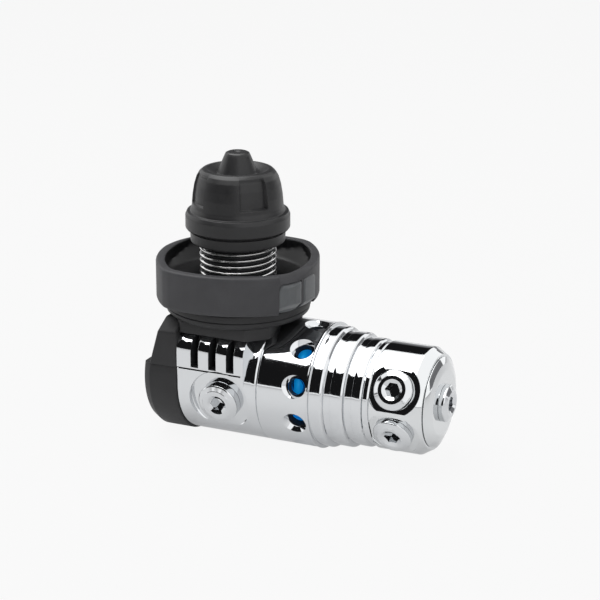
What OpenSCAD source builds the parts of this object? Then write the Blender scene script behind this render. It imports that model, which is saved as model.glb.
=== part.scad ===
// First stage of a diving regulator with a screw-in cylinder fitting under a dust cap.
// Millimetres. +Z is the axis of the cylinder thread, pointing out of the fitting.
// +X is the axis of the barrel, towards the swivelling turret. The origin is on the thread axis.

/* [Layout] */
// Depth of the barrel axis below the origin
barrel_drop = 37.8; // [37.6:0.1:38]
// Radial gap between a turning or sliding part and its seat
running_gap = 0.06; // [0.02:0.01:0.1]
// Radial gap between seated parts that do not move
seat_gap = 0.04; // [0.02:0.01:0.06]

/* [Cylinder thread sleeve] */
// Crest radius of the G5/8 thread
thread_r = 11.455; // [11.4:0.005:11.5]
// Lower end of the exposed thread, at the handwheel floor
thread_z0 = -7.5; // [-7.6:0.1:-7.4]
// Upper end of the sleeve
thread_z1 = 9.8; // [9.6:0.1:10]
// Lower edge of the groove at the mouth of the dust cap
thread_groove_z = 2.7; // [2.5:0.1:2.8]
// Width of that groove
thread_groove_w = 0.6; // [0.4:0.1:0.7]
// Depth of the thread form
thread_depth = 1.1; // [0.9:0.1:1.2]
// Radius of the flange that the handwheel grips
sleeve_flange_r = 14; // [13.5:0.1:14.5]

/* [Connector] */
// Radius of the stem inside the sleeve
stem_r = 6.8; // [6.6:0.1:7]
// Radius of the sealing head
head_r = 8.6; // [8.4:0.1:8.8]
// Height of the sealing face
head_z1 = 10.5; // [10.4:0.1:10.6]
// Thickness of the sealing head
head_t = 3.5; // [3.4:0.1:3.6]
// Radius of the thread into the body
shank_r = 7.5; // [7.3:0.1:7.6]
// Lower end of the thread into the body
shank_z0 = -29; // [-29.2:0.1:-28.5]
// Radius of the gas passage
inlet_bore_r = 3; // [2.5:0.1:3.4]
// Radius of the filter chamber
filter_bore_r = 4.6; // [4.4:0.1:4.8]

/* [Dust cap] */
// Lower edge of the cap on the thread
cap_z0 = 3.3; // [3.3:0.05:3.5]
// Radius of the skirt
cap_skirt_r = 14.15; // [14:0.05:14.4]
// Radius of the flange
cap_flange_r = 15.5; // [15.2:0.1:15.8]
// Radius of the dome above the flange
cap_dome_r = 13.9; // [13.6:0.1:14]
// Radius of the cavity that fits over the thread
cap_cavity_r = 11.8; // [11.76:0.02:12]
// Top of the cavity
cap_cavity_z1 = 11.8; // [11.6:0.1:12]
// Angle covered by each of the four thumb pockets
pocket_deg = 38; // [34:1:42]
// Turning angle of the first pocket's middle from +X
pocket_first_deg = -42.2; // [-45:0.2:-40]
// Depth of a pocket
pocket_depth = 0.9; // [0.6:0.1:1.1]
// Height of a pocket's lower step
pocket_z0 = 15.2; // [14.8:0.1:15.6]
// Radius at the foot of the pull nose
nose_base_r = 6.1; // [5.9:0.1:6.3]
// Radius at the tip of the pull nose
nose_tip_r = 3.8; // [3.6:0.1:4]
// Top of the pull nose
cap_top_z = 30; // [29.8:0.1:30.4]

/* [Handwheel] */
// Lower face
wheel_z0 = -13.2; // [-13.3:0.1:-13.1]
// Upper rim
wheel_z1 = -1.4; // [-1.8:0.1:-1.2]
// Radius at the middle of each of the four sides
side_r = 24.2; // [24:0.1:24.5]
// Radius of curvature of a side
side_curve_r = 34.9; // [34:0.1:36]
// Radius over the rounded corners
corner_r = 26.2; // [26:0.1:26.4]
// Turning angle of the first corner from +X
corner_deg = -28; // [-30:1:-26]
// Width of the rim round the dish
rim_w = 2.7; // [2.5:0.1:3]
// Radius of the dish at its foot
dish_r = 19.6; // [19:0.1:20]
// Turning angle of the first grip's middle from +X
grip_deg = -17; // [-18:0.5:-16]
// Angle covered by one of the two pads of a grip
grip_pad_deg = 18; // [17:0.5:19]
// Angle between the two pads of a grip
grip_gap_deg = 3.1; // [2.8:0.1:3.6]
// Depth of a pad in the wheel
grip_depth = 1.9; // [1.6:0.1:2.1]
// How far a pad stands proud of the wheel
grip_proud = 0.3; // [0.2:0.05:0.4]
// Lower edge of the pads
pad_z0 = -12.8; // [-12.9:0.1:-12.6]
// Upper edge of the pads
pad_z1 = -3.9; // [-4.1:0.1:-3.7]

/* [Collar and saddle] */
// Radius of the collar disc
collar_r = 21.75; // [21.5:0.05:22]
// Upper face of the collar disc
collar_z1 = -13.8; // [-13.9:0.1:-13.8]
// Lower face of the collar disc
collar_z0 = -18.2; // [-18.4:0.1:-18]
// Half length of the saddle along X
saddle_half_x = 16; // [15.5:0.1:16.2]
// Half width of the saddle along Y
saddle_half_y = 17.5; // [17:0.1:18]
// Corner chamfer of the saddle
saddle_chamfer = 5.4; // [5:0.1:6]

/* [Body] */
// Radius of the round body
body_r = 18.7; // [18.6:0.05:18.72]
// X of the joint with the end cover
cover_joint_x = -11.2; // [-11.4:0.1:-11]
// X of the joint with the barrel
barrel_joint_x = 14.5; // [14.3:0.1:14.7]
// Height of the flat block's underside above the barrel axis
block_low = 5.45; // [5.2:0.05:5.7]
// Height of the flat block's top above the barrel axis
block_high = 15.8; // [15.7:0.1:15.8]
// X of the block's end
block_end_x = 10.5; // [10.2:0.1:11]
// Half width of the flat block
block_half = 18.85; // [18.75:0.05:18.95]
// Half width of the flat flank below the block
flank_half = 18.6; // [18.5:0.05:18.65]
// Rounding of the block's long top edges
block_round = 5.5; // [5:0.1:6]
// X of the first ventilation slot
slot_first_x = -5.35; // [-5.6:0.05:-5.1]
// Distance between slots
slot_pitch = 5.8; // [5.7:0.05:5.9]
// Width of a slot
slot_w = 2.4; // [2.2:0.1:2.6]
// Depth of a slot
slot_depth = 5.4; // [5:0.1:6]
// X of the high-pressure ports
high_port_x = 2.3; // [2:0.1:2.6]
// Angle of the high-pressure ports below the horizontal
high_port_deg = 12; // [10:1:14]

/* [Barrel] */
// Radius of the perforated part
barrel_r = 18.75; // [18.7:0.05:18.8]
// X of the ring of ambient holes
hole_x = 26.4; // [26:0.1:26.8]
// Number of ambient holes
hole_count = 10; // [10:1:10]
// Angle of the first ambient hole above the front
hole_first_deg = 14.6; // [14:0.2:15]
// Radius of an ambient hole
hole_r = 2.3; // [2.1:0.1:2.6]
// Radius of an ambient hole's countersink
hole_sink_r = 3.7; // [3.5:0.1:3.9]
// Radius of the spring chamber
cylinder_r = 14.8; // [14.7:0.1:14.9]
// Radius of the first rib
rib1_r = 18.05; // [17.9:0.05:18.2]
// Radius of the second rib
rib2_r = 17.1; // [17:0.05:17.2]
// Radius of the third rib
rib3_r = 16.1; // [16:0.05:16.2]
// Step in the lead-in of the second and third ribs
rib_step = 0.25; // [0.15:0.05:0.3]
// X of the barrel's end face
barrel_end_x = 48.4; // [48.3:0.1:48.4]

/* [Turret] */
// Radius of the turret
turret_r = 15.95; // [15.8:0.05:16.05]
// X of the turret's first face
turret_x0 = 48.6; // [48.6:0.1:48.8]
// X of the turret's last face
turret_x1 = 64.4; // [64.2:0.1:64.4]
// X of the low-pressure ports
low_port_x = 55.7; // [55.5:0.1:56]
// Angle of the low-pressure ports above and below the horizontal
low_port_deg = 26.3; // [25:0.1:27]
// Radius of the hollow retaining bolt's stem
retainer_stem_r = 8; // [7.8:0.1:8.2]
// Radius of the retaining bolt's head
retainer_head_r = 13.9; // [13.7:0.1:14]
// X of the retaining bolt's end face
retainer_end_x = 66.2; // [66:0.1:66.4]

/* [Port plugs] */
// Head radius of a low-pressure plug
low_head_r = 5.8; // [5.6:0.1:6]
// Radius of the 3/8-24 low-pressure thread
low_thread_r = 4.76; // [4.7:0.02:4.8]
// Head radius of a high-pressure plug
high_head_r = 6.2; // [6.1:0.1:6.4]
// Radius of the 7/16-20 high-pressure thread
high_thread_r = 5.56; // [5.5:0.02:5.6]
// Width across flats of the hexagon sockets
hex_af = 4; // [3.8:0.1:4.2]
// Depth of the hexagon sockets
hex_depth = 2.6; // [2:0.1:2.8]

/* [Piston and spring] */
// Radius of the piston's stem
piston_stem_r = 3.5; // [3.4:0.1:3.6]
// Radius of the gas passage through the piston
piston_bore_r = 1.8; // [1.6:0.1:2]
// X of the stem's sealing edge with the valve open
piston_tip_x = -5.4; // [-5.4:0.1:-5.2]
// X of the piston head's spring face
piston_head_x = 40; // [39.8:0.1:40.2]
// Thickness of the piston head
piston_head_t = 5; // [4.8:0.1:5.1]
// Mean radius of the main spring
spring_mean_r = 12.2; // [12:0.1:12.4]
// Radius of the spring's wire
spring_wire_r = 1.5; // [1.3:0.1:1.7]
// Turns of the main spring
spring_turns = 5; // [4:1:6]

/* [Hidden] */
$fn = 64;
eps = 0.5;
face_gap = 0.02;
ring_gap = 0.05;
quarters = [0, 90, 180, 270];

// Colours
chrome = [0.78, 0.79, 0.80];
black = [0.09, 0.09, 0.10];
pad_grey = [0.30, 0.31, 0.32];
seal = [0.05, 0.05, 0.05];
brass = [0.72, 0.58, 0.30];
blue = [0.02, 0.30, 0.85];
bronze = [0.55, 0.45, 0.32];
nylon = [0.88, 0.87, 0.82];

// Angles of the port axes round the barrel
high_angles = [-high_port_deg, 180 + high_port_deg];
low_angles = [-low_port_deg, low_port_deg, 180 - low_port_deg, 180 + low_port_deg];

// Connector stack
head_z0 = head_z1 - head_t;
flange_z1 = -12.4;
flange_r = 10.5;
neck_r = 8;
neck_z0 = -19;
filter_chamber_z = 2;
filter_tip_r = 2;
clip_z = 9;
clip_t = 0.7;
clip_bore_r = 3.4;
face_ring_major = 6.6;
face_ring_minor = 0.9;
face_groove = 1.1;
shank_ring_z = -23;
shank_ring_root = 6.2;
shank_ring_minor = 0.65;

// Sleeve
sleeve_z0 = -12.2;
sleeve_flange_z1 = -8.5;
sleeve_relief_r = 11;
sleeve_bore_r = stem_r + running_gap;
sleeve_head_z = head_z0 - 0.1;

nose_z0 = 23.6;
nose_dimple_r = 1.4;
// Dust cap outline, radius and height
cap_profile = [[cap_cavity_r, cap_z0], [cap_skirt_r - 0.25, cap_z0], [cap_skirt_r, cap_z0 + 0.25],
    [cap_skirt_r, 6.6], [cap_flange_r - 0.35, 7.2], [cap_flange_r, 7.7], [cap_flange_r, 11.3],
    [cap_flange_r - 0.5, 12.4], [cap_dome_r + 0.15, 12.6], [cap_dome_r, 13.2], [cap_dome_r - 0.35, 14],
    [cap_dome_r - 0.65, 17.5], [cap_dome_r - 1.15, 20.5], [cap_dome_r - 1.85, 22.8],
    [cap_dome_r - 2.6, 24.1], [cap_dome_r - 3.6, 24.9], [cap_dome_r - 4.7, 25.1],
    [nose_base_r, nose_z0], [nose_tip_r, cap_top_z - 0.9], [nose_tip_r - 0.3, cap_top_z - 0.3],
    [nose_tip_r - 0.9, cap_top_z], [nose_dimple_r, cap_top_z], [0, cap_top_z - 0.5],
    [0, cap_cavity_z1], [cap_cavity_r, cap_cavity_z1]];
// Bottom of the pockets, radius and height
pocket_profile = [[cap_dome_r - 0.45 - pocket_depth, pocket_z0], [cap_dome_r - 0.6 - pocket_depth, 17.5],
    [cap_dome_r - 1 - pocket_depth, 20.5], [cap_dome_r - 1.45 - pocket_depth, 22.8],
    [cap_dome_r - 2.3, 23.9], [cap_flange_r, 23.9], [cap_flange_r, pocket_z0]];

// Handwheel
side_offset = side_curve_r - side_r;
wheel_floor_z = thread_z0;
wheel_bevel = 0.6;
grip_step = (grip_pad_deg + grip_gap_deg) / 2;
grip_top_r = 24.1;
grip_foot_r = 23.2;
pad_bevel = 0.7;
pad_foot = 2.4;

// Body interior along the barrel axis
spigot_r = 12.5;
spigot_x0 = -17;
retainer_r = 9.5;
retainer_x0 = -16.9;
chamber_x0 = -8;
chamber_x1 = 5;
chamber_r = 8;
seal_x = 5.8;
bushing_x = 7.2;
bushing_r = 7.5;
spring_room_x = 9;
socket_x = 10;
socket_r = 16.6;
valve_seat_r = 4;
valve_seat_x0 = -9.2;
valve_seat_x1 = -6.5;
retainer_groove_x = -12;
stem_ring_minor = 0.6;
stem_hole_r = piston_stem_r + 0.2;
slot_top_z = 15.3;
ledge = 0.7;
flank_groove = 0.3;
groove_end_x = 9.6;

// End cover
cover_x0 = -22.8;
cover_r = 19.3;
cover_bevel_x = 2.6;
cover_bevel_r = 1.5;
cover_flat_y = 19;
cover_block_low = 5.1;
cover_slant_x0 = -20.4;
cover_slant_x1 = -16.4;
hood_top = barrel_drop + collar_z0;
hood_chamfer = hood_top - block_high;

// Port seats, measured out from the barrel axis
high_face = 17;
high_spot_r = 9.65;
high_out = 20.3;
high_in = 10;
low_face = 15.1;
low_spot_r = 6.6;
low_out = 17;
low_in = 10.6;
high_ring_major = 5.15;
high_ring_minor = 0.7;
low_ring_major = 4.7;
low_ring_minor = 0.65;
gallery_r = 10.5;
gallery_w = 5;
axial_head_r = 5.5;
axial_out = 68.6;
axial_in = 60.5;
axial_ring_major = 4.35;
axial_ring_minor = 0.6;
plug_chamfer = 0.5;
boss_h = 0.35;
boss_rim_w = 1.45;
hex_land = 1.1;
hex_land_depth = 0.4;

// Barrel outline from the body to the turret, X and radius
barrel_profile = [[barrel_joint_x, barrel_r - 0.35], [barrel_joint_x + 0.4, barrel_r], [30.2, barrel_r],
    [30.6, barrel_r + 0.15], [31, barrel_r + 0.15], [31.1, rib1_r], [34.3, rib1_r], [34.8, rib1_r - 0.3],
    [35.1, rib1_r - 0.8], [35.25, rib2_r - rib_step], [37.2, rib2_r - rib_step], [37.2, rib2_r],
    [40.5, rib2_r], [41, rib2_r - 0.35], [41.2, rib2_r - 0.8], [41.3, rib3_r - rib_step],
    [43.5, rib3_r - rib_step], [43.5, rib3_r], [46, rib3_r], [46.45, rib3_r - 0.25], [46.7, rib3_r - 0.8],
    [47.9, rib3_r - 0.8], [barrel_end_x, rib3_r - 1.1]];
barrel_wall_x = 45.5;

// Piston and spring
piston_ring_minor = 0.8;
piston_ring_x = piston_head_x + 3;
piston_ring_root = 13.05;
spring_x0 = 10;
spring_x1 = piston_head_x - 0.1;
spring_sides = 10;
spring_steps = 28;
pad_inner_r = 10;
pad_outer_r = 14.4;

// Puts the children on the barrel axis, their Z along +X
module along_barrel(x = 0) {
    translate([x, 0, -barrel_drop]) rotate([0, 90, 0]) children();
}

// Puts the children on a port axis, their Z pointing out of the barrel
module on_port(x, deg) {
    translate([x, 0, -barrel_drop]) rotate([90 - deg, 0, 0]) children();
}

module ring(r_out, r_in, z0, z1) {
    translate([0, 0, z0]) difference() {
        cylinder(r = r_out, h = z1 - z0);
        translate([0, 0, -eps]) cylinder(r = r_in, h = z1 - z0 + 2 * eps);
    }
}

module torus(major, minor, z) {
    translate([0, 0, z]) rotate_extrude() translate([major, 0]) circle(r = minor);
}

module hex_cut(z, depth) {
    translate([0, 0, z - depth]) cylinder(d = hex_af / cos(30), h = depth + eps, $fn = 6);
}

module main_body() {
    color(chrome) difference() {
        union() {
            along_barrel(cover_joint_x) cylinder(r = body_r, h = barrel_joint_x - cover_joint_x);
            along_barrel(spigot_x0) cylinder(r = spigot_r, h = cover_joint_x - spigot_x0 + eps);
            translate([cover_joint_x, 0, -barrel_drop]) rotate([90, 0, 90])
                linear_extrude(block_end_x - cover_joint_x) block_outline();
        }
        for (i = [0:2]) {
            front_slot(slot_first_x + i * slot_pitch);
            mirror([0, 1, 0]) front_slot(slot_first_x + i * slot_pitch);
        }
        for (side = [-1, 1]) translate([cover_joint_x - eps, side * flank_half, block_low - barrel_drop])
            rotate([0, 90, 0]) rotate([0, 0, 45])
                translate([-flank_groove, -flank_groove]) cube([2 * flank_groove, 2 * flank_groove, groove_end_x - cover_joint_x]);
        for (deg = high_angles) on_port(high_port_x, deg) {
            translate([0, 0, high_face]) cylinder(r = high_spot_r, h = high_spot_r);
            translate([0, 0, high_face - 2 * high_ring_minor]) cylinder(r = high_ring_major + high_ring_minor + 0.07, h = high_face);
            cylinder(r = high_thread_r, h = high_face);
        }
        translate([0, 0, -barrel_drop]) cylinder(r = shank_r + seat_gap, h = barrel_drop);
        along_barrel(spigot_x0 - eps) cylinder(r = retainer_r + seat_gap, h = chamber_x0 - spigot_x0 + eps);
        along_barrel(chamber_x0 - eps) cylinder(r = chamber_r, h = chamber_x1 - chamber_x0 + eps);
        along_barrel(chamber_x1 - eps) cylinder(r = stem_hole_r, h = spring_room_x);
        along_barrel(seal_x) cylinder(r = piston_stem_r + 0.05 + 2 * stem_ring_minor + 0.05, h = spring_room_x);
        along_barrel(bushing_x) cylinder(r = bushing_r + seat_gap, h = spring_room_x);
        along_barrel(spring_room_x) cylinder(r = cylinder_r, h = barrel_joint_x);
        along_barrel(socket_x) cylinder(r = socket_r + seat_gap, h = barrel_joint_x);
    }
}

module block_outline() {
    inner = block_half - block_round;
    translate([-flank_half, 0]) square([2 * flank_half, block_low]);
    translate([-block_half, block_low]) square([2 * block_half, block_high - block_round - block_low]);
    translate([-inner, block_low]) square([2 * inner, block_high - block_low]);
    for (side = [-1, 1]) translate([side * inner, block_high - block_round]) circle(r = block_round);
}

module front_slot(x) {
    translate([x, slot_depth - block_half, -barrel_drop]) rotate([90, 0, 0]) linear_extrude(body_r) {
        translate([-slot_w / 2, block_low + ledge]) square([slot_w, slot_top_z - slot_w / 2 - block_low - ledge]);
        translate([0, slot_top_z - slot_w / 2]) circle(d = slot_w);
    }
}

module cover_outline() {
    circle(r = cover_r);
    polygon([[-cover_flat_y, 0], [cover_flat_y, 0], [cover_flat_y, block_high],
             [cover_flat_y - hood_chamfer, hood_top], [-cover_flat_y + hood_chamfer, hood_top],
             [-cover_flat_y, block_high]]);
}

// The hood's side view between two slanting lines, from X low0 up to high0 and from X low1 up to high1
module hood_side(low0, high0, low1, high1) {
    translate([0, cover_r + eps, -barrel_drop]) rotate([90, 0, 0]) linear_extrude(2 * (cover_r + eps))
        polygon([[low0, cover_block_low], [low1, cover_block_low], [high1, hood_top], [high0, hood_top]]);
}

module end_cover() {
    color(black) difference() {
        union() {
            difference() {
                along_barrel() rotate_extrude() polygon([[0, cover_x0], [cover_r - cover_bevel_r, cover_x0],
                    [cover_r, cover_x0 + cover_bevel_x], [cover_r, cover_joint_x - seat_gap],
                    [0, cover_joint_x - seat_gap]]);
                hood_side(cover_x0 - eps, cover_x0 - eps, cover_slant_x0, cover_slant_x1);
            }
            intersection() {
                translate([cover_slant_x0, 0, -barrel_drop]) rotate([90, 0, 90])
                    linear_extrude(cover_joint_x - seat_gap - cover_slant_x0) cover_outline();
                hood_side(cover_slant_x0, cover_slant_x1, cover_joint_x, cover_joint_x);
            }
        }
        along_barrel(spigot_x0 - 0.1) cylinder(r = spigot_r + seat_gap, h = cover_joint_x - spigot_x0 + eps);
        translate([0, 0, block_high - barrel_drop]) linear_extrude(cover_r) saddle_outline(seat_gap);
    }
}

module saddle_outline(grow = 0) {
    x = saddle_half_x + grow;
    y = saddle_half_y + grow;
    c = saddle_chamfer;
    polygon([[-x, -y + c], [-x + c, -y], [x - c, -y], [x, -y + c], [x, y - c], [x - c, y], [-x + c, y], [-x, y - c]]);
}

module saddle() {
    color(black) difference() {
        translate([0, 0, block_high - barrel_drop]) linear_extrude(collar_z0 - block_high + barrel_drop) saddle_outline();
        along_barrel(-cover_r) cylinder(r = barrel_r + seat_gap, h = 2 * cover_r);
        translate([0, 0, -barrel_drop]) cylinder(r = neck_r + seat_gap, h = barrel_drop);
    }
}

module collar_disc() {
    color(black) rotate_extrude() polygon([[neck_r + seat_gap, collar_z0], [collar_r - 0.9, collar_z0],
        [collar_r, collar_z0 + 0.9], [collar_r, collar_z1 - 0.4], [collar_r - 0.4, collar_z1],
        [neck_r + seat_gap, collar_z1]]);
}

module seat_retainer() {
    color(brass) along_barrel() difference() {
        translate([0, 0, retainer_x0]) cylinder(r = retainer_r, h = chamber_x0 - seat_gap - retainer_x0);
        ring(retainer_r + eps, retainer_r - 2 * stem_ring_minor, retainer_groove_x - 0.7, retainer_groove_x + 0.7);
        translate([0, 0, valve_seat_x0]) cylinder(r = valve_seat_r + seat_gap, h = -valve_seat_x0);
        translate([0, 0, retainer_x0 - eps]) cylinder(d = 2 * hex_af / cos(30), h = hex_af + eps, $fn = 6);
    }
}

module seat_retainer_oring() {
    color(seal) along_barrel() torus(retainer_r - stem_ring_minor - 0.02, stem_ring_minor - 0.02, retainer_groove_x);
}

module valve_seat() {
    color(nylon) along_barrel(valve_seat_x0) cylinder(r = valve_seat_r, h = valve_seat_x1 - valve_seat_x0);
}

module din_connector() {
    color(chrome) difference() {
        rotate_extrude() polygon([[inlet_bore_r, shank_z0], [shank_r - 0.6, shank_z0], [shank_r, shank_z0 + 0.6],
            [shank_r, shank_ring_z - 0.75], [shank_ring_root, shank_ring_z - 0.75], [shank_ring_root, shank_ring_z + 0.75],
            [shank_r, shank_ring_z + 0.75], [shank_r, neck_z0], [neck_r, neck_z0], [neck_r, collar_z1],
            [flange_r, collar_z1], [flange_r, flange_z1], [stem_r, flange_z1], [stem_r, head_z0], [head_r, head_z0],
            [head_r, head_z1 - 0.5], [head_r - 0.5, head_z1], [filter_bore_r, head_z1],
            [filter_bore_r, filter_chamber_z], [inlet_bore_r, filter_chamber_z]]);
        ring(face_ring_major + face_ring_minor + 0.05, face_ring_major - face_ring_minor - 0.05,
             head_z1 - face_groove, head_z1 + eps);
    }
}

module connector_oring() {
    color(seal) torus(shank_ring_root + shank_ring_minor + 0.01, shank_ring_minor, shank_ring_z);
}

module face_oring() {
    color(seal) torus(face_ring_major, face_ring_minor, head_z1 - face_groove + face_ring_minor + 0.01);
}

module inlet_filter() {
    color(bronze) rotate_extrude() polygon([[0, filter_chamber_z + 0.1], [filter_tip_r, filter_chamber_z + 0.1],
        [filter_bore_r - 0.9, clip_z - 1], [filter_bore_r - seat_gap, clip_z - 1], [filter_bore_r - seat_gap, clip_z],
        [0, clip_z]]);
}

module filter_clip() {
    color(chrome) ring(filter_bore_r - seat_gap, clip_bore_r, clip_z + 0.02, clip_z + clip_t);
}

module din_sleeve() {
    color(chrome) rotate_extrude() polygon([[sleeve_bore_r, sleeve_z0], [sleeve_flange_r - 0.3, sleeve_z0],
        [sleeve_flange_r, sleeve_z0 + 0.3], [sleeve_flange_r, sleeve_flange_z1], [sleeve_relief_r, sleeve_flange_z1],
        [sleeve_relief_r, thread_z0], [thread_r, thread_z0], [thread_r, thread_groove_z],
        [thread_r - thread_depth, thread_groove_z], [thread_r - thread_depth, thread_groove_z + thread_groove_w],
        [thread_r, thread_groove_z + thread_groove_w], [thread_r, thread_z1 - 0.8], [thread_r - 0.8, thread_z1],
        [head_r + running_gap, thread_z1], [head_r + running_gap, sleeve_head_z], [sleeve_bore_r, sleeve_head_z]]);
}

// A wedge of the plane, deg wide, about +X
module sector(deg) {
    reach = 2 * corner_r;
    polygon([[0, 0], reach * [cos(deg / 2), -sin(deg / 2)], [reach, 0], reach * [cos(deg / 2), sin(deg / 2)]]);
}

// Four curved sides between rounded corners, from above
module wheel_outline(grow) {
    intersection() {
        circle(r = corner_r + grow);
        side_disc(0, grow);
        side_disc(1, grow);
        side_disc(2, grow);
        side_disc(3, grow);
    }
}

module side_disc(i, grow) {
    rotate(corner_deg + 45 + quarters[i]) translate([-side_offset, 0]) circle(r = side_curve_r + grow);
}

module four_sided(grow, z0, z1) {
    translate([0, 0, z0]) linear_extrude(z1 - z0) wheel_outline(grow);
}

// The wedges of all the pads, each wider by extra on both flanks
module pad_wedges(extra) {
    for (side = [0, 180], pad = [-1, 1]) rotate(grip_deg + side + pad * grip_step)
        translate([0, 0, pad_z0 - extra]) linear_extrude(pad_z1 - pad_z0 + 2 * extra)
            sector(grip_pad_deg + 4 * extra);
}

module handwheel() {
    color(black) difference() {
        intersection() {
            four_sided(0, wheel_z0, wheel_z1);
            rotate_extrude() polygon([[0, wheel_z0], [corner_r - wheel_bevel, wheel_z0], [corner_r, wheel_z0 + wheel_bevel],
                [corner_r, wheel_z1 - wheel_bevel], [corner_r - wheel_bevel, wheel_z1], [0, wheel_z1]]);
        }
        intersection() {
            four_sided(-rim_w, wheel_floor_z, wheel_z1 + eps);
            translate([0, 0, wheel_floor_z]) cylinder(r1 = dish_r, r2 = corner_r, h = wheel_z1 - wheel_floor_z + eps);
        }
        translate([0, 0, wheel_z0 - eps])
            cylinder(r = sleeve_flange_r + seat_gap, h = sleeve_flange_z1 - wheel_z0 + eps + seat_gap);
        translate([0, 0, wheel_z0]) cylinder(r = thread_r + seat_gap, h = wheel_z1 - wheel_z0);
        difference() {
            pad_wedges(seat_gap);
            four_sided(-grip_depth - seat_gap, wheel_z0 - eps, wheel_z1 + eps);
        }
        intersection() {
            rotate_extrude() polygon([[corner_r + grip_proud, pad_z1 - pad_bevel], [side_curve_r, pad_z1 - pad_bevel],
                [side_curve_r, wheel_z1 + eps], [grip_top_r, wheel_z1 + eps], [grip_top_r, wheel_z1]]);
            grip_wedges();
        }
        intersection() {
            rotate_extrude() polygon([[corner_r, pad_z0 + pad_foot], [side_curve_r, pad_z0 + pad_foot],
                [side_curve_r, wheel_z0 - eps], [grip_foot_r, wheel_z0 - eps], [grip_foot_r, wheel_z0]]);
            grip_wedges();
        }
    }
}

// The whole of both grips, from above
module grip_wedges() {
    for (side = [0, 180]) rotate(grip_deg + side) translate([0, 0, wheel_z0 - eps])
        linear_extrude(wheel_z1 - wheel_z0 + 2 * eps) sector(2 * grip_pad_deg + grip_gap_deg);
}

module grip_pads() {
    color(pad_grey) difference() {
        intersection() {
            four_sided(grip_proud, pad_z0, pad_z1);
            pad_wedges(0);
            rotate_extrude() polygon([[0, pad_z0], [grip_foot_r + grip_proud, pad_z0],
                [corner_r, pad_z0 + pad_foot], [corner_r, pad_z1 - pad_bevel], [corner_r - pad_bevel, pad_z1],
                [0, pad_z1]]);
        }
        four_sided(-grip_depth, wheel_z0, wheel_z1);
    }
}

module dust_cap() {
    color(black) difference() {
        rotate_extrude() polygon(cap_profile);
        intersection() {
            rotate_extrude() polygon(pocket_profile);
            for (deg = quarters) rotate(pocket_first_deg + deg) linear_extrude(cap_top_z) sector(pocket_deg);
        }
    }
}

module barrel() {
    color(chrome) difference() {
        along_barrel() union() {
            rotate_extrude() polygon(concat([[0, barrel_joint_x]], [for (p = barrel_profile) [p[1], p[0]]],
                                            [[0, barrel_end_x]]));
            translate([0, 0, socket_x + seat_gap]) cylinder(r = socket_r, h = barrel_joint_x - socket_x);
        }
        along_barrel(0) cylinder(r = cylinder_r, h = barrel_wall_x);
        along_barrel(0) cylinder(r = retainer_stem_r + seat_gap, h = barrel_end_x + eps);
        for (i = [0:hole_count - 1]) on_port(hole_x, hole_first_deg + i * 360 / hole_count) {
            translate([0, 0, cylinder_r - 2]) cylinder(r = hole_r, h = barrel_r);
            translate([0, 0, barrel_r - 2]) cylinder(r1 = hole_r - 0.4, r2 = hole_sink_r + 0.6, h = 2.6);
        }
    }
}

module stem_bushing() {
    color(nylon) along_barrel() ring(bushing_r, piston_stem_r + running_gap, bushing_x + 0.05, spring_room_x - 0.05);
}

module stem_oring() {
    color(seal) along_barrel() torus(piston_stem_r + 0.05 + stem_ring_minor, stem_ring_minor, seal_x + stem_ring_minor + 0.05);
}

module spring_pad() {
    color(nylon) along_barrel() ring(pad_outer_r, pad_inner_r, spring_room_x + 0.05, spring_x0 - 0.05);
}

// Height of the spring's wire centre after t turns: close end turns, open between
function spring_rise(t) =
    let (room = spring_x1 - spring_x0 - 2 * spring_wire_r, close = 2 * spring_wire_r * 1.02,
         open = (room - 2 * close) / (spring_turns - 2))
    t < 1 ? t * close : t > spring_turns - 1 ? room - (spring_turns - t) * close : close + (t - 1) * open;

module main_spring() {
    n = spring_turns * spring_steps;
    m = spring_sides;
    color(blue) along_barrel(spring_x0 + spring_wire_r) polyhedron(
        points = concat([for (i = [0:n], j = [0:m - 1])
            let (a = 360 * i / spring_steps, b = 360 * j / m, r = spring_mean_r + spring_wire_r * cos(b))
            [r * cos(a), r * sin(a), spring_rise(i / spring_steps) + spring_wire_r * sin(b)]]),
        faces = concat([[for (j = [0:m - 1]) j]], [[for (j = [0:m - 1]) n * m + m - 1 - j]],
            [for (i = [0:n - 1], j = [0:m - 1]) [i * m + j, i * m + (j + 1) % m, (i + 1) * m + (j + 1) % m]],
            [for (i = [0:n - 1], j = [0:m - 1]) [i * m + j, (i + 1) * m + (j + 1) % m, (i + 1) * m + j]]));
}

// A plug: threaded shank, sealing neck and head with a raised boss, its Z out of the port
module plug(seat, out, in, head, thread, neck, ring_minor) {
    thread_end = seat - 2 * ring_minor;
    rim = out - boss_h;
    boss = head - boss_rim_w;
    difference() {
        rotate_extrude() polygon([[0, in], [thread, in], [thread, thread_end], [neck, thread_end],
            [neck, seat + face_gap], [head, seat + face_gap], [head, rim - plug_chamfer],
            [head - plug_chamfer, rim], [boss, rim], [boss - boss_h, out], [0, out]]);
        hex_cut(out, hex_depth);
        translate([0, 0, out - hex_land_depth])
            cylinder(r1 = hex_af / 2 + 0.3, r2 = hex_af / 2 + hex_land, h = hex_land_depth + seat_gap);
    }
}

module high_pressure_plugs() {
    color(chrome) for (deg = high_angles) on_port(high_port_x, deg)
        plug(high_face, high_out, high_in, high_head_r, high_thread_r - seat_gap,
             high_ring_major - high_ring_minor - face_gap, high_ring_minor + ring_gap);
}

module high_pressure_orings() {
    color(seal) for (deg = high_angles) on_port(high_port_x, deg) torus(high_ring_major, high_ring_minor, high_face - high_ring_minor);
}

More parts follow.
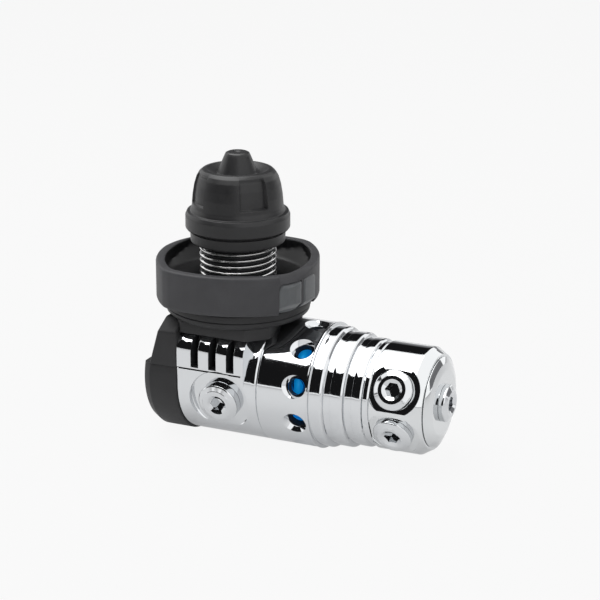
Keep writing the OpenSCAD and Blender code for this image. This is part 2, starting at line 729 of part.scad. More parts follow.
module turret_retainer() {
    color(chrome) along_barrel() difference() {
        rotate_extrude() polygon([[0, barrel_wall_x - 0.1], [retainer_stem_r - 0.4, barrel_wall_x - 0.1],
            [retainer_stem_r, barrel_wall_x + 0.3], [retainer_stem_r, turret_x1 + 0.1],
            [retainer_head_r, turret_x1 + 0.1], [retainer_head_r - 2.3, retainer_end_x - 0.6],
            [retainer_head_r - 4.2, retainer_end_x], [0, retainer_end_x]]);
        for (x = [low_port_x - gallery_w / 2 - 2, low_port_x + gallery_w / 2 + 2])
            ring(retainer_stem_r + eps, retainer_stem_r - 1.5, x - 0.8, x + 0.8);
        cylinder(r = low_thread_r - 0.8, h = retainer_end_x);
        translate([0, 0, axial_in - 0.5]) cylinder(r = low_thread_r, h = retainer_end_x);
        translate([0, 0, retainer_end_x - 2 * axial_ring_minor - 0.1])
            cylinder(r = axial_ring_major + axial_ring_minor + 0.05, h = retainer_end_x);
        for (deg = [45:90:315]) translate([0, 0, low_port_x]) rotate([0, 90, deg]) cylinder(r = 2, h = retainer_stem_r + eps);
    }
}

module turret_orings() {
    color(seal) along_barrel() for (x = [low_port_x - gallery_w / 2 - 2, low_port_x + gallery_w / 2 + 2])
        torus(retainer_stem_r - 0.76, 0.73, x);
}

module turret_washer() {
    color(nylon) along_barrel() ring(13.5, retainer_stem_r + seat_gap, barrel_end_x + 0.01, turret_x0 - 0.04);
}

module axial_plug() {
    color(chrome) along_barrel() plug(retainer_end_x, axial_out, axial_in, axial_head_r, low_thread_r - seat_gap,
        axial_ring_major - axial_ring_minor - face_gap, axial_ring_minor + ring_gap);
}

module axial_plug_oring() {
    color(seal) along_barrel() torus(axial_ring_major, axial_ring_minor, retainer_end_x - axial_ring_minor - 0.04);
}

module piston() {
    color(chrome) along_barrel() difference() {
        rotate_extrude() polygon([[piston_bore_r, piston_tip_x], [piston_bore_r + 0.3, piston_tip_x],
            [piston_stem_r, piston_tip_x + 1.4], [piston_stem_r, piston_head_x], [cylinder_r - 0.08, piston_head_x],
            [cylinder_r - 0.08, piston_ring_x - 0.85], [piston_ring_root, piston_ring_x - 0.85],
            [piston_ring_root, piston_ring_x + 0.85], [cylinder_r - 0.08, piston_ring_x + 0.85],
            [cylinder_r - 0.08, piston_head_x + piston_head_t], [piston_bore_r, piston_head_x + piston_head_t]]);
        translate([0, 0, piston_head_x + piston_head_t - 2]) cylinder(r1 = 5, r2 = 7, h = 2 + seat_gap);
    }
}

module piston_oring() {
    color(seal) along_barrel() torus(piston_ring_root + piston_ring_minor + 0.01, piston_ring_minor, piston_ring_x);
}

module turret() {
    color(chrome) difference() {
        along_barrel() rotate_extrude() polygon([[retainer_stem_r + running_gap, turret_x0], [turret_r - 0.5, turret_x0],
            [turret_r, turret_x0 + 0.5], [turret_r, turret_x1 - 2.9], [turret_r - 0.75, turret_x1 - 1.8],
            [turret_r - 1.85, turret_x1], [retainer_stem_r + running_gap, turret_x1]]);
        along_barrel(low_port_x - gallery_w / 2) cylinder(r = gallery_r, h = gallery_w);
        for (deg = low_angles) on_port(low_port_x, deg) {
            translate([0, 0, low_face]) cylinder(r = low_spot_r, h = low_spot_r);
            translate([0, 0, low_face - 2 * low_ring_minor]) cylinder(r = low_ring_major + low_ring_minor + 0.07, h = low_face);
            translate([0, 0, retainer_stem_r]) cylinder(r = low_thread_r, h = low_face);
        }
    }
}

module low_pressure_plugs() {
    color(chrome) for (deg = low_angles) on_port(low_port_x, deg)
        plug(low_face, low_out, low_in, low_head_r, low_thread_r - seat_gap,
             low_ring_major - low_ring_minor - face_gap, low_ring_minor + ring_gap);
}

module low_pressure_orings() {
    color(seal) for (deg = low_angles) on_port(low_port_x, deg) torus(low_ring_major, low_ring_minor, low_face - low_ring_minor);
}

main_body();
end_cover();
seat_retainer();
seat_retainer_oring();
valve_seat();
saddle();
collar_disc();
din_connector();
connector_oring();
face_oring();
inlet_filter();
filter_clip();
barrel();
stem_bushing();
stem_oring();
spring_pad();
main_spring();
high_pressure_plugs();
high_pressure_orings();
turret_retainer();
turret_orings();
turret_washer();
axial_plug();
axial_plug_oring();
piston();
piston_oring();
turret();
low_pressure_plugs();
low_pressure_orings();
handwheel();
din_sleeve();
grip_pads();
dust_cap();
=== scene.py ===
import math

import bmesh
import bpy
import numpy as np
from mathutils import Matrix, Vector


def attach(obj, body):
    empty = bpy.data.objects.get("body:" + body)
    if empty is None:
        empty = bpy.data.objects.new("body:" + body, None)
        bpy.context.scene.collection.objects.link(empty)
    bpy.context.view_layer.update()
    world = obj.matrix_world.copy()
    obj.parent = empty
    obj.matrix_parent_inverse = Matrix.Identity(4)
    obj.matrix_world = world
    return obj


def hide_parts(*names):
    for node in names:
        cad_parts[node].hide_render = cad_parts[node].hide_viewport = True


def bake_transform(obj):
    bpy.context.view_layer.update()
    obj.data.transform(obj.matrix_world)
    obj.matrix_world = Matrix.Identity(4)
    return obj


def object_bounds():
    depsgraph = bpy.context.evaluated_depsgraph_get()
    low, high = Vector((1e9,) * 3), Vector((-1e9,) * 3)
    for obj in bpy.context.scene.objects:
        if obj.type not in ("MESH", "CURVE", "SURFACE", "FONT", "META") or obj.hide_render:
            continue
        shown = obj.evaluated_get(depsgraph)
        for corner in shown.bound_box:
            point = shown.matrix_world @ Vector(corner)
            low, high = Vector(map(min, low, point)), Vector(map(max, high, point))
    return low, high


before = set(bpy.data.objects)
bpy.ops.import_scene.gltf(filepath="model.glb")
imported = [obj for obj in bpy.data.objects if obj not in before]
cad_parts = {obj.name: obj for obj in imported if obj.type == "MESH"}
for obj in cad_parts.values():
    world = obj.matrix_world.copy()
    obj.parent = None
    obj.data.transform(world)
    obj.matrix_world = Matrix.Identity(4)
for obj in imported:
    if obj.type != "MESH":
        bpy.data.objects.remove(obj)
cad_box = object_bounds()

# ----------------------------------------------------------------------------------------
# Camera and studio. A long lens looks down 18 degrees from the turret side. The part lies in a white tent with
# a black flag behind the camera and a lamp box overhead, which is what polished chrome needs to show its shape.
# ----------------------------------------------------------------------------------------
MM = 0.001
turn, tilt, roll = math.radians(24.288), math.radians(17.980), math.radians(0.2137)
distance, aside, below = 579.67, 18.372, 14.836  # of the lens from the thread's origin, mm
back = Vector((math.sin(turn) * math.cos(tilt), -math.cos(turn) * math.cos(tilt), math.sin(tilt)))
level = Vector((math.cos(turn), math.sin(turn), 0))
upright = back.cross(level)
right = level * math.cos(roll) + upright * math.sin(roll)
up = upright * math.cos(roll) - level * math.sin(roll)
lens = bpy.data.cameras.new("camera")
lens.sensor_width, lens.lens = 36, 117.21
lens.clip_start, lens.clip_end = 0.01, 50
camera = bpy.data.objects.new("camera", lens)
camera.matrix_world = Matrix((right, up, back)).transposed().to_4x4()
camera.matrix_world.translation = (back * distance + right * aside - up * below) * MM
bpy.context.collection.objects.link(camera)
bpy.context.scene.camera = camera
bpy.context.scene.view_settings.view_transform = "Standard"


def linear(code):
    """An sRGB hex colour as linear RGBA."""
    parts = [int(code[i:i + 2], 16) / 255 for i in (1, 3, 5)]
    return tuple(p / 12.92 if p <= 0.04045 else ((p + 0.055) / 1.055) ** 2.4 for p in parts) + (1.0,)


def add(tree, kind, inputs=None, **settings):
    """Adds a node to a tree. inputs maps socket name or number to a value or to another node's output."""
    node = tree.nodes.new(kind)
    for key, value in settings.items():
        setattr(node, key, value)
    for key, value in (inputs or {}).items():
        if isinstance(value, bpy.types.NodeSocket):
            tree.links.new(value, node.inputs[key])
        else:
            node.inputs[key].default_value = value
    return node


def calc(tree, operation, *values):
    """Adds a Math node to a tree and gives its result. Each value is a number or another node's output."""
    return add(tree, "ShaderNodeMath", dict(enumerate(values)), operation=operation).outputs[0]


def link(name, data):
    """A new object of the scene, at the origin."""
    obj = bpy.data.objects.new(name, data)
    bpy.context.collection.objects.link(obj)
    return obj


def card(name, corners, material):
    """A flat four-cornered panel of the studio, corners in metres."""
    mesh = bpy.data.meshes.new(name)
    mesh.from_pydata([tuple(c) for c in corners], [], [(0, 1, 2, 3)])
    mesh.materials.append(material)
    obj = link(name, mesh)
    return obj


# The table is matt white acrylic. The camera sees it as the pale backdrop, with a trace of the part's shadow. In
# reflections half of it is a flat grey glow, a painted shade.
paper = bpy.data.materials.new("matt white table")
paper.use_nodes = True
tree = paper.node_tree
tree.nodes.clear()
path = add(tree, "ShaderNodeLightPath")
white = add(tree, "ShaderNodeBsdfDiffuse", {"Color": linear("#f4f4f4")})
glow = add(tree, "ShaderNodeEmission", {"Color": linear("#f8f8f8"), "Strength": 1.0})
grey = add(tree, "ShaderNodeEmission", {"Color": linear("#d6d6d7"), "Strength": 1.0})
seen = add(tree, "ShaderNodeMixShader", {0: 0.97, 1: white.outputs[0], 2: glow.outputs[0]})
mirrored = add(tree, "ShaderNodeMixShader", {0: 0.5, 1: white.outputs[0], 2: grey.outputs[0]})
first = add(tree, "ShaderNodeMixShader", {0: path.outputs["Is Camera Ray"], 1: white.outputs[0], 2: seen.outputs[0]})
both = add(tree, "ShaderNodeMixShader", {0: path.outputs["Is Glossy Ray"], 1: first.outputs[0], 2: mirrored.outputs[0]})
add(tree, "ShaderNodeOutputMaterial", {"Surface": both.outputs[0]})
floor_z = cad_box[0][2] - 0.0005
card("table", [(-8, -8, floor_z), (8, -8, floor_z), (8, 8, floor_z), (-8, 8, floor_z)], paper)

world = bpy.data.worlds.new("white tent")
bpy.context.scene.world = world
world.use_nodes = True
tree = world.node_tree
tree.nodes.clear()
path = add(tree, "ShaderNodeLightPath")
fill = add(tree, "ShaderNodeBackground", {"Color": linear("#ffffff"), "Strength": 0.45})
tent = add(tree, "ShaderNodeBackground", {"Color": linear("#f8f8f8"), "Strength": 1.4})
backdrop = add(tree, "ShaderNodeBackground", {"Color": linear("#f8f8f8"), "Strength": 1.0})
mix = add(tree, "ShaderNodeMixShader", {0: path.outputs["Is Glossy Ray"], 1: fill.outputs[0], 2: tent.outputs[0]})
mix = add(tree, "ShaderNodeMixShader", {0: path.outputs["Is Camera Ray"], 1: mix.outputs[0], 2: backdrop.outputs[0]})
add(tree, "ShaderNodeOutputWorld", {"Surface": mix.outputs[0]})


# Black flags are seen only in reflections. The front one stands behind the camera from the table's edge up to 50
# degrees, and the rear one hangs low behind the part, so that the barrel's crown goes dark.
def felted(name, low, high, start=0.45, end=0.95):
    """A flag's cloth, going from one grey at the foot to another at the head, between two parts of its height."""
    material = bpy.data.materials.new(name)
    material.use_nodes = True
    tree = material.node_tree
    tree.nodes.clear()
    up_it = add(tree, "ShaderNodeSeparateXYZ", {0: add(tree, "ShaderNodeTexCoord").outputs["Generated"]}).outputs["Z"]
    tones = add(tree, "ShaderNodeValToRGB", {"Fac": up_it})
    tones.color_ramp.elements[0].position, tones.color_ramp.elements[1].position = start, end
    tones.color_ramp.elements[0].color, tones.color_ramp.elements[1].color = linear(low), linear(high)
    add(tree, "ShaderNodeOutputMaterial", {"Surface": add(tree, "ShaderNodeEmission", {
        "Color": tones.outputs[0], "Strength": 1.0}).outputs[0]})
    return material


black_felt = felted("black felt flag", "#1b1b1c", "#1b1b1c")
faded_felt = felted("black felt flag, lit from below", "#b4b4b6", "#1b1b1c", 0.02, 0.3)
grey_felt = felted("grey felt flag", "#7c7c7e", "#c8c8ca")
centre = Vector((0.025, 0, -0.0378))


def flag(name, azimuth, half_width, distance, low, high, material):
    """An upright panel facing the part. Azimuth is in degrees from the front, low and high are elevations."""
    away = Vector((math.sin(math.radians(azimuth)), -math.cos(math.radians(azimuth)), 0))
    side = Vector((away.y, -away.x, 0)) * half_width
    foot = Vector((0, 0, distance * math.tan(math.radians(low))))
    head = Vector((0, 0, distance * math.tan(math.radians(high))))
    base = centre + away * distance
    obj = card(name, [base - side + foot, base + side + foot, base + side + head, base - side + head], material)
    obj.visible_camera = obj.visible_diffuse = obj.visible_shadow = False


flag("front flag", -22, 0.75, 0.80, 2.0, 49, black_felt)
flag("rear flag", 202, 0.42, 0.80, 4.0, 50, faded_felt)
flag("side flag", 128, 0.30, 0.80, 2.0, 26, grey_felt)


def lamp_box(name, width, depth, watts, spot):
    """A rectangular lamp, aimed at the part from a spot in metres."""
    light = bpy.data.lights.new(name, "AREA")
    light.shape, light.size, light.size_y, light.energy = "RECTANGLE", width, depth, watts
    lamp = link(name, light)
    lamp.location = spot
    lamp.rotation_euler = (Vector((0.02, 0, -0.03)) - lamp.location).to_track_quat("-Z", "Y").to_euler()
    return lamp


lamp_box("overhead lamp box", 0.9, 0.55, 5.6, (-0.15, -0.05, 0.62))
lamp_box("side lamp box", 0.5, 0.5, 1.9, (0.55, -0.55, 0.35)).visible_glossy = False

# ----------------------------------------------------------------------------------------
# Main body. Forged brass, turned and milled, polished and chrome plated: a round barrel with a flat-sided block
# on top, three cooling slots on each flank and a spot-faced high-pressure port front and rear.
# ----------------------------------------------------------------------------------------
DROP = 37.8  # depth of the barrel axis below the cylinder thread's origin, mm
BODY_R = 18.7
ALONG = Matrix.Translation((0, 0, -DROP)) @ Matrix.Rotation(math.pi / 2, 4, "Y")  # lathe axis onto +X


def chromed(name, rough, tint="#d2d4d6", waves=0.12):
    """Chrome plate over brass: bright metal, with the faint waviness of hand polishing and hairline wiping marks."""
    material = bpy.data.materials.new(name)
    material.use_nodes = True
    tree = material.node_tree
    shader = tree.nodes["Principled BSDF"]
    shader.inputs["Base Color"].default_value = linear(tint)
    shader.inputs["Metallic"].default_value = 1.0
    place = add(tree, "ShaderNodeTexCoord").outputs["Object"]
    haze = add(tree, "ShaderNodeTexNoise", {"Vector": place, "Scale": 260.0, "Detail": 4.0})  # 4 mm cloudiness
    wipe = add(tree, "ShaderNodeMapping", {"Vector": place, "Scale": (1, 1, 9)})
    wiped = add(tree, "ShaderNodeTexNoise", {"Vector": wipe.outputs[0], "Scale": 900.0, "Detail": 3.0})
    level = calc(tree, "MULTIPLY", haze.outputs["Fac"], wiped.outputs["Fac"])
    spread = add(tree, "ShaderNodeMapRange", {"Value": level, "From Min": 0.12, "From Max": 0.42,
                                              "To Min": rough * 0.75, "To Max": rough * 1.5})
    tree.links.new(spread.outputs[0], shader.inputs["Roughness"])
    wave = add(tree, "ShaderNodeTexNoise", {"Vector": place, "Scale": 110.0, "Detail": 2.0})  # 9 mm polishing waves
    bump = add(tree, "ShaderNodeBump", {"Height": wave.outputs["Fac"], "Strength": waves, "Distance": 0.0001})
    tree.links.new(bump.outputs[0], shader.inputs["Normal"])
    return material


chrome = chromed("chrome plate on polished brass", 0.055)
turned_chrome = chromed("chrome plate on turned brass", 0.04, "#d6d8d9")
# A dark, dull plate laid on the slots' walls, the barrel's bore and the thread's roots: painted shade where the chrome
# lies in shadow.
painted_shade_plate = chromed("dull dark plate inside the bores", 0.55, "#242527")
painted_shade_plate.node_tree.nodes["Principled BSDF"].inputs["Metallic"].default_value = 0.35


def soften(points, steps=4):
    """Rounds the corners of a lathe outline. Each point is (radius, height, fillet) in mm; with 0 it stays sharp."""
    out = []
    for i, (r, h, fillet) in enumerate(points):
        here = np.array((r, h), float)
        if fillet <= 0:
            out.append(here)
            continue
        before, after = np.array(points[i - 1][:2]), np.array(points[(i + 1) % len(points)][:2])
        a, b = before - here, after - here
        la, lb = np.linalg.norm(a), np.linalg.norm(b)
        a, b = a / la, b / lb
        half = math.acos(max(-1, min(1, float(a @ b)))) / 2
        if half > math.radians(89.5):
            out.append(here)
            continue
        reach = min(fillet / math.tan(half), 0.46 * la, 0.46 * lb)
        radius = reach * math.tan(half)
        middle = here + (a + b) / np.linalg.norm(a + b) * radius / math.sin(half)
        start, end = here + a * reach - middle, here + b * reach - middle
        sweep = math.atan2(start[0] * end[1] - start[1] * end[0], float(start @ end))
        for k in range(steps + 1):
            c, s = math.cos(sweep * k / steps), math.sin(sweep * k / steps)
            out.append(middle + np.array((c * start[0] - s * start[1], s * start[0] + c * start[1])))
    return out


def split(outline, row):
    """A closed outline with its walls cut into rows about row mm high."""
    points = []
    for p, q in zip(outline, list(outline[1:]) + [outline[0]]):
        parts = max(1, round(abs(q[1] - p[1]) / row)) if min(p[0], q[0]) > 1 else 1
        points += [(max(0.0, p[0] + (q[0] - p[0]) * k / parts), p[1] + (q[1] - p[1]) * k / parts) for k in range(parts)]
    return points


def lathe(name, outline, place=Matrix(), segments=160, material=None):
    """A turned piece. outline is a closed run of (radius, height) in mm, split into rows about 1.1 mm high; points on
    the axis become one pole."""
    verts, rows = [], []
    for r, h in split(outline, 1.1):
        if r < 1e-6:
            rows.append([len(verts)] * segments)
            verts.append(place @ Vector((0, 0, h)) * MM)
        else:
            rows.append(list(range(len(verts), len(verts) + segments)))
            for k in range(segments):
                t = 2 * math.pi * k / segments
                verts.append(place @ Vector((r * math.cos(t), r * math.sin(t), h)) * MM)
    faces = []
    for a, b in zip(rows, rows[1:] + rows[:1]):
        if a[0] == a[1] and b[0] == b[1]:
            continue
        for k in range(segments):
            j = (k + 1) % segments
            quad = [a[k], a[j], b[j], b[k]]
            faces.append(list(dict.fromkeys(quad)))
    return solid(name, verts, faces, material)


def solid(name, verts, faces, material, sharp=32):
    """A closed mesh with outward faces, smooth except where it turns by more than sharp degrees."""
    mesh = bpy.data.meshes.new(name)
    mesh.from_pydata([tuple(v) for v in verts], [], [f for f in faces if len(f) > 2])
    work = bmesh.new()
    work.from_mesh(mesh)
    bmesh.ops.remove_doubles(work, verts=work.verts, dist=1e-7)
    bmesh.ops.recalc_face_normals(work, faces=work.faces)
    work.to_mesh(mesh)
    work.free()
    if material:
        mesh.materials.append(material)
    obj = link(name, mesh)
    shade(obj, sharp)
    return obj


def shade(obj, sharp=32):
    """Smooth shading with creases kept."""
    obj.data.polygons.foreach_set("use_smooth", [True] * len(obj.data.polygons))
    obj.data.set_sharp_from_angle(angle=math.radians(sharp))


def loft(name, runs, sharp=32):
    """A closed piece through runs of points, each of the same length, in metres; flat ends."""
    n = len(runs[0])
    faces = [list(range(n)), list(range((len(runs) - 1) * n, len(runs) * n))]
    for o in range(0, (len(runs) - 1) * n, n):
        faces += [[o + k, o + (k + 1) % n, o + n + (k + 1) % n, o + n + k] for k in range(n)]
    return solid(name, [v for run in runs for v in run], faces, None, sharp)


def prism(name, outline, length, place):
    """An extruded piece: outline is (x, y) in mm, the length runs along the placed Z."""
    return loft(name, [[place @ Vector((x, y, z)) * MM for x, y in outline] for z in (0, length)])


def carve(obj, tool, how="DIFFERENCE"):
    """Cuts tool out of obj, or joins the two, and leaves one plain mesh."""
    step = obj.modifiers.new("carve", "BOOLEAN")
    step.operation, step.solver, step.object = how, "EXACT", tool
    settle(obj)
    bpy.data.objects.remove(tool)


def dip(obj, material):
    """Gives a whole piece one finish."""
    obj.data.materials.clear()
    obj.data.materials.append(material)


def settle(obj, sharp=32):
    """Applies a piece's modifiers to its mesh and takes them off."""
    mesh = bpy.data.meshes.new_from_object(obj.evaluated_get(bpy.context.evaluated_depsgraph_get()))
    obj.modifiers.clear()
    obj.data = mesh
    shade(obj, sharp)


def ease(obj, width, segments, least=30):
    """Rounds a piece's edges, width mm wide, where its faces turn by more than least degrees."""
    edge = obj.modifiers.new("edge", "BEVEL")
    edge.width, edge.segments = width * MM, segments
    edge.limit_method, edge.angle_limit = "ANGLE", math.radians(least)
    settle(obj)


def rounded_rect(x0, y0, x1, y1, radii, steps):
    """A rectangle's outline with a radius for each corner, counter-clockwise from the low left."""
    out = []
    for (cx, cy, sx, sy), r, start in zip(((x0, y0, 1, 1), (x1, y0, -1, 1), (x1, y1, -1, -1), (x0, y1, 1, -1)),
                                          radii, (180, 270, 0, 90)):
        for k in range(steps + 1):
            t = math.radians(start + 90 * k / steps)
            out.append((cx + sx * r + r * math.cos(t), cy + sy * r + r * math.sin(t)))
    return out


COVER_X, BARREL_X, BLOCK_X = -11.2, 14.5, 10.5  # where the cover, the barrel and the block end, along the barrel
SIDE, LEDGE, TOP, SHOULDER = 18.85, 5.45, 15.8, 5.5  # of the block: half width, foot and top from the axis, radius
FLAT = 18.6  # half the distance between the flats below the block
body = lathe("main_body_shell", soften([
    (0, -17, 0), (12.5, -17, 0.3), (12.5, COVER_X, 0), (BODY_R - 0.15, COVER_X, 0), (BODY_R, COVER_X + 0.15, 0),
    (BODY_R, BARREL_X - 0.75, 0), (BODY_R - 0.12, BARREL_X - 0.4, 0), (BODY_R - 0.5, BARREL_X - 0.08, 0),
    (BODY_R - 1.1, BARREL_X, 0), (16.7, BARREL_X, 0), (16.7, 10, 0), (0, 10, 0)]), ALONG, segments=256)
flank = Matrix.Translation((COVER_X, 0, -DROP)) @ Matrix(((0, 0, 1), (1, 0, 0), (0, 1, 0))).to_4x4()
block = rounded_rect(-SIDE, LEDGE, SIDE, TOP, (0.2, 0.2, SHOULDER, SHOULDER), 12)
block = prism("block", block, BLOCK_X - COVER_X, flank)
foot = [(-FLAT, 0), (FLAT, 0), (FLAT, 5.8), (-FLAT, 5.8)]
carve(block, prism("flat flanks", foot, BLOCK_X - COVER_X, flank), "UNION")
ease(block, 0.25, 3, 50)
carve(body, block, "UNION")
for side in (-FLAT, FLAT):
    scribe = [(side - 0.42, LEDGE), (side, LEDGE - 0.42), (side + 0.42, LEDGE), (side, LEDGE + 0.42)]
    carve(body, prism("groove under the ledge", scribe, 9.6 - COVER_X + 0.5, Matrix.Translation((-0.5, 0, 0)) @ flank))

# The slots are milled with a 2.4 mm cutter, three to a side, and stop above a thin ledge. One Geometry Nodes tree
# steps a cutter along the flank, mirrors the row to the far side and takes it from the body.
SLOTS = {"count": 3, "first": -5.35, "pitch": 5.8}  # the first one's middle along the barrel and the spacing, mm
slot_tool = prism("slot cutter", [(-1.2, 6.15), (1.2, 6.15)] + [
    (1.2 * math.cos(math.radians(t)), 14.1 + 1.2 * math.sin(math.radians(t))) for t in range(0, 181, 12)], 6,
    Matrix.Translation((0, -13.45, -DROP)) @ Matrix.Rotation(math.pi / 2, 4, "X"))


def sockets(name, **sizes):
    """A new Geometry Nodes tree that takes a mesh and named numbers and objects, and gives a mesh."""
    tree = bpy.data.node_groups.new(name, "GeometryNodeTree")
    tree.interface.new_socket("Geometry", in_out="INPUT", socket_type="NodeSocketGeometry")
    for key, value in sizes.items():
        kind = {int: "NodeSocketInt", float: "NodeSocketFloat"}.get(type(value), "NodeSocketObject")
        socket = tree.interface.new_socket(key, in_out="INPUT", socket_type=kind)
        if kind != "NodeSocketObject":
            socket.default_value = value
    tree.interface.new_socket("Geometry", in_out="OUTPUT", socket_type="NodeSocketGeometry")
    return tree, add(tree, "NodeGroupInput").outputs


def grow(obj, tree, result, sharp=32, **sizes):
    """Ends a tree in result, runs it on obj with these sizes, and leaves a plain mesh."""
    add(tree, "NodeGroupOutput", {0: result})
    step = obj.modifiers.new("grow", "NODES")
    step.node_group = tree
    for item in tree.interface.items_tree:
        if item.in_out == "INPUT" and item.name in sizes:
            step[item.identifier] = sizes[item.name]
    settle(obj, sharp)


def placed_ring(tree, size):
    """Copies of a tool round the barrel axis, in pairs step degrees apart, each pair half degrees on from the last."""
    row = add(tree, "GeometryNodeMeshLine", {"Count": size["count"], "Offset": (0, 0, 0)})
    number = add(tree, "GeometryNodeInputIndex").outputs[0]
    pair = calc(tree, "FLOOR", calc(tree, "DIVIDE", number, 2.0))
    number = calc(tree, "MODULO", number, 2.0)
    base = calc(tree, "MULTIPLY_ADD", pair, size["half"], size["first"])
    angle = calc(tree, "MULTIPLY_ADD", number, size["step"], base)
    angle = calc(tree, "RADIANS", angle)
    spin = add(tree, "ShaderNodeCombineXYZ", {"X": calc(tree, "MULTIPLY", angle, -1.0)}).outputs[0]
    across = calc(tree, "MULTIPLY", size["x"], MM)
    spot = add(tree, "ShaderNodeCombineXYZ", {"X": across, "Z": -DROP * MM}).outputs[0]
    put = add(tree, "GeometryNodeSetPosition", {"Geometry": row.outputs[0], "Position": spot})
    shape = add(tree, "GeometryNodeObjectInfo", {"Object": size["tool"]}).outputs["Geometry"]
    copies = add(tree, "GeometryNodeInstanceOnPoints", {"Points": put.outputs[0], "Instance": shape, "Rotation": spin})
    return add(tree, "GeometryNodeRealizeInstances", {0: copies.outputs[0]}).outputs[0]


UPRIGHT = Matrix.Rotation(math.pi / 2, 4, "X")  # a cutter's Z onto the front


def drill(obj, name, tool, material, **sizes):
    """Takes copies of a cutter, set round the barrel axis, from a piece, and gives the piece its material."""
    tool.data.transform(UPRIGHT)
    tree, size = sockets(name, tool=tool, **sizes)
    bored = add(tree, "GeometryNodeMeshBoolean", {"Mesh 1": size["Geometry"], "Mesh 2": placed_ring(tree, size)},
                operation="DIFFERENCE", solver="EXACT")
    done = add(tree, "GeometryNodeSetMaterial", {"Geometry": bored.outputs[0], "Material": material})
    grow(obj, tree, done.outputs[0], tool=tool, **sizes)
    bpy.data.objects.remove(tool)


tree, size = sockets("milled slots", tool=slot_tool, **SLOTS)
span = calc(tree, "MULTIPLY", size["pitch"], MM)
begin = calc(tree, "MULTIPLY", size["first"], MM)
row = add(tree, "GeometryNodeMeshLine", {
    "Count": size["count"], "Start Location": add(tree, "ShaderNodeCombineXYZ", {"X": begin}).outputs[0],
    "Offset": add(tree, "ShaderNodeCombineXYZ", {"X": span}).outputs[0]})
shape = add(tree, "GeometryNodeObjectInfo", {"Object": size["tool"]}).outputs["Geometry"]
copies = add(tree, "GeometryNodeInstanceOnPoints", {"Points": row.outputs[0], "Instance": shape})
front = add(tree, "GeometryNodeRealizeInstances", {0: copies.outputs[0]}).outputs[0]
rear = add(tree, "GeometryNodeTransform", {"Geometry": front, "Scale": (1, -1, 1)}).outputs[0]
rear = add(tree, "GeometryNodeFlipFaces", {"Mesh": rear}).outputs[0]
cut = add(tree, "GeometryNodeMeshBoolean", {"Mesh 1": size["Geometry"], "Mesh 2": front},
          operation="DIFFERENCE", solver="EXACT")
tree.links.new(rear, cut.inputs["Mesh 2"])
grow(body, tree, cut.outputs[0], tool=slot_tool, **SLOTS)
bpy.data.objects.remove(slot_tool)


def in_slot(spot, room):
    """Whether a point in metres lies in one of the slots, or within room mm of it."""
    y, h = abs(spot.y) / MM, spot.z / MM + DROP
    aside = min(abs(spot.x / MM - SLOTS["first"] - SLOTS["pitch"] * k) for k in range(SLOTS["count"]))
    return aside < 1.21 + room and 6.14 - room < h < 15.31 + room and y > 13.4 - room


# Each slot's rim is broken with a file. The walls inside get the dark plate, a painted shade.
work = bmesh.new()
work.from_mesh(body.data)
rim = [e for e in work.edges if len(e.link_faces) == 2 and e.calc_face_angle(0) > math.radians(48)
       and all(in_slot(v.co, 0.02) and abs(v.co.y) > 13.6 * MM for v in e.verts)]
bmesh.ops.bevel(work, geom=rim, offset=0.24 * MM, segments=2, profile=0.5, affect="EDGES", clamp_overlap=True)
work.to_mesh(body.data)
work.free()
shade(body)

# A spotface and a threaded bore for each high-pressure port, 12 degrees below the horizontal.
GAUGE_PORTS = {"count": 2, "first": -12.0, "step": 204.0, "half": 0.0, "x": 2.3}
drill(body, "high-pressure ports", lathe("spotface cutter", [
    (0, 9), (5.56, 9), (5.56, 15.6), (5.92, 15.6), (5.92, 17), (9.4, 17), (9.65, 17.25), (9.65, 24), (0, 24)],
    Matrix(), 96), chrome, **GAUGE_PORTS)


def part_out(obj, plain_finish, other_finish, pick):
    """Gives a piece two finishes; pick says of a face's middle, in metres, whether it has the other one."""
    dip(obj, plain_finish)
    obj.data.materials.append(other_finish)
    for face in obj.data.polygons:
        face.material_index = int(pick(face.center))


def inside_slot(spot):
    """Whether a point lies on a slot's wall, under the block's skin."""
    rise = max(0.0, spot.z / MM + DROP - (TOP - SHOULDER))
    skin = SIDE - SHOULDER + math.sqrt(max(0.0, SHOULDER ** 2 - rise ** 2))
    return in_slot(spot, 0.0) and abs(spot.y) / MM < skin - 0.3


# The slots' walls take the dark plate: painted shade inside the slots.
part_out(body, chrome, painted_shade_plate, inside_slot)
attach(body, "first_stage")
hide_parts("main_body")

# ----------------------------------------------------------------------------------------
# End cover. A moulded cap of glass-filled nylon over the closed end of the body: a round bevelled cup with a
# flat-sided hood that reaches up beside the saddle. It has a fine spark-eroded grain.
# ----------------------------------------------------------------------------------------


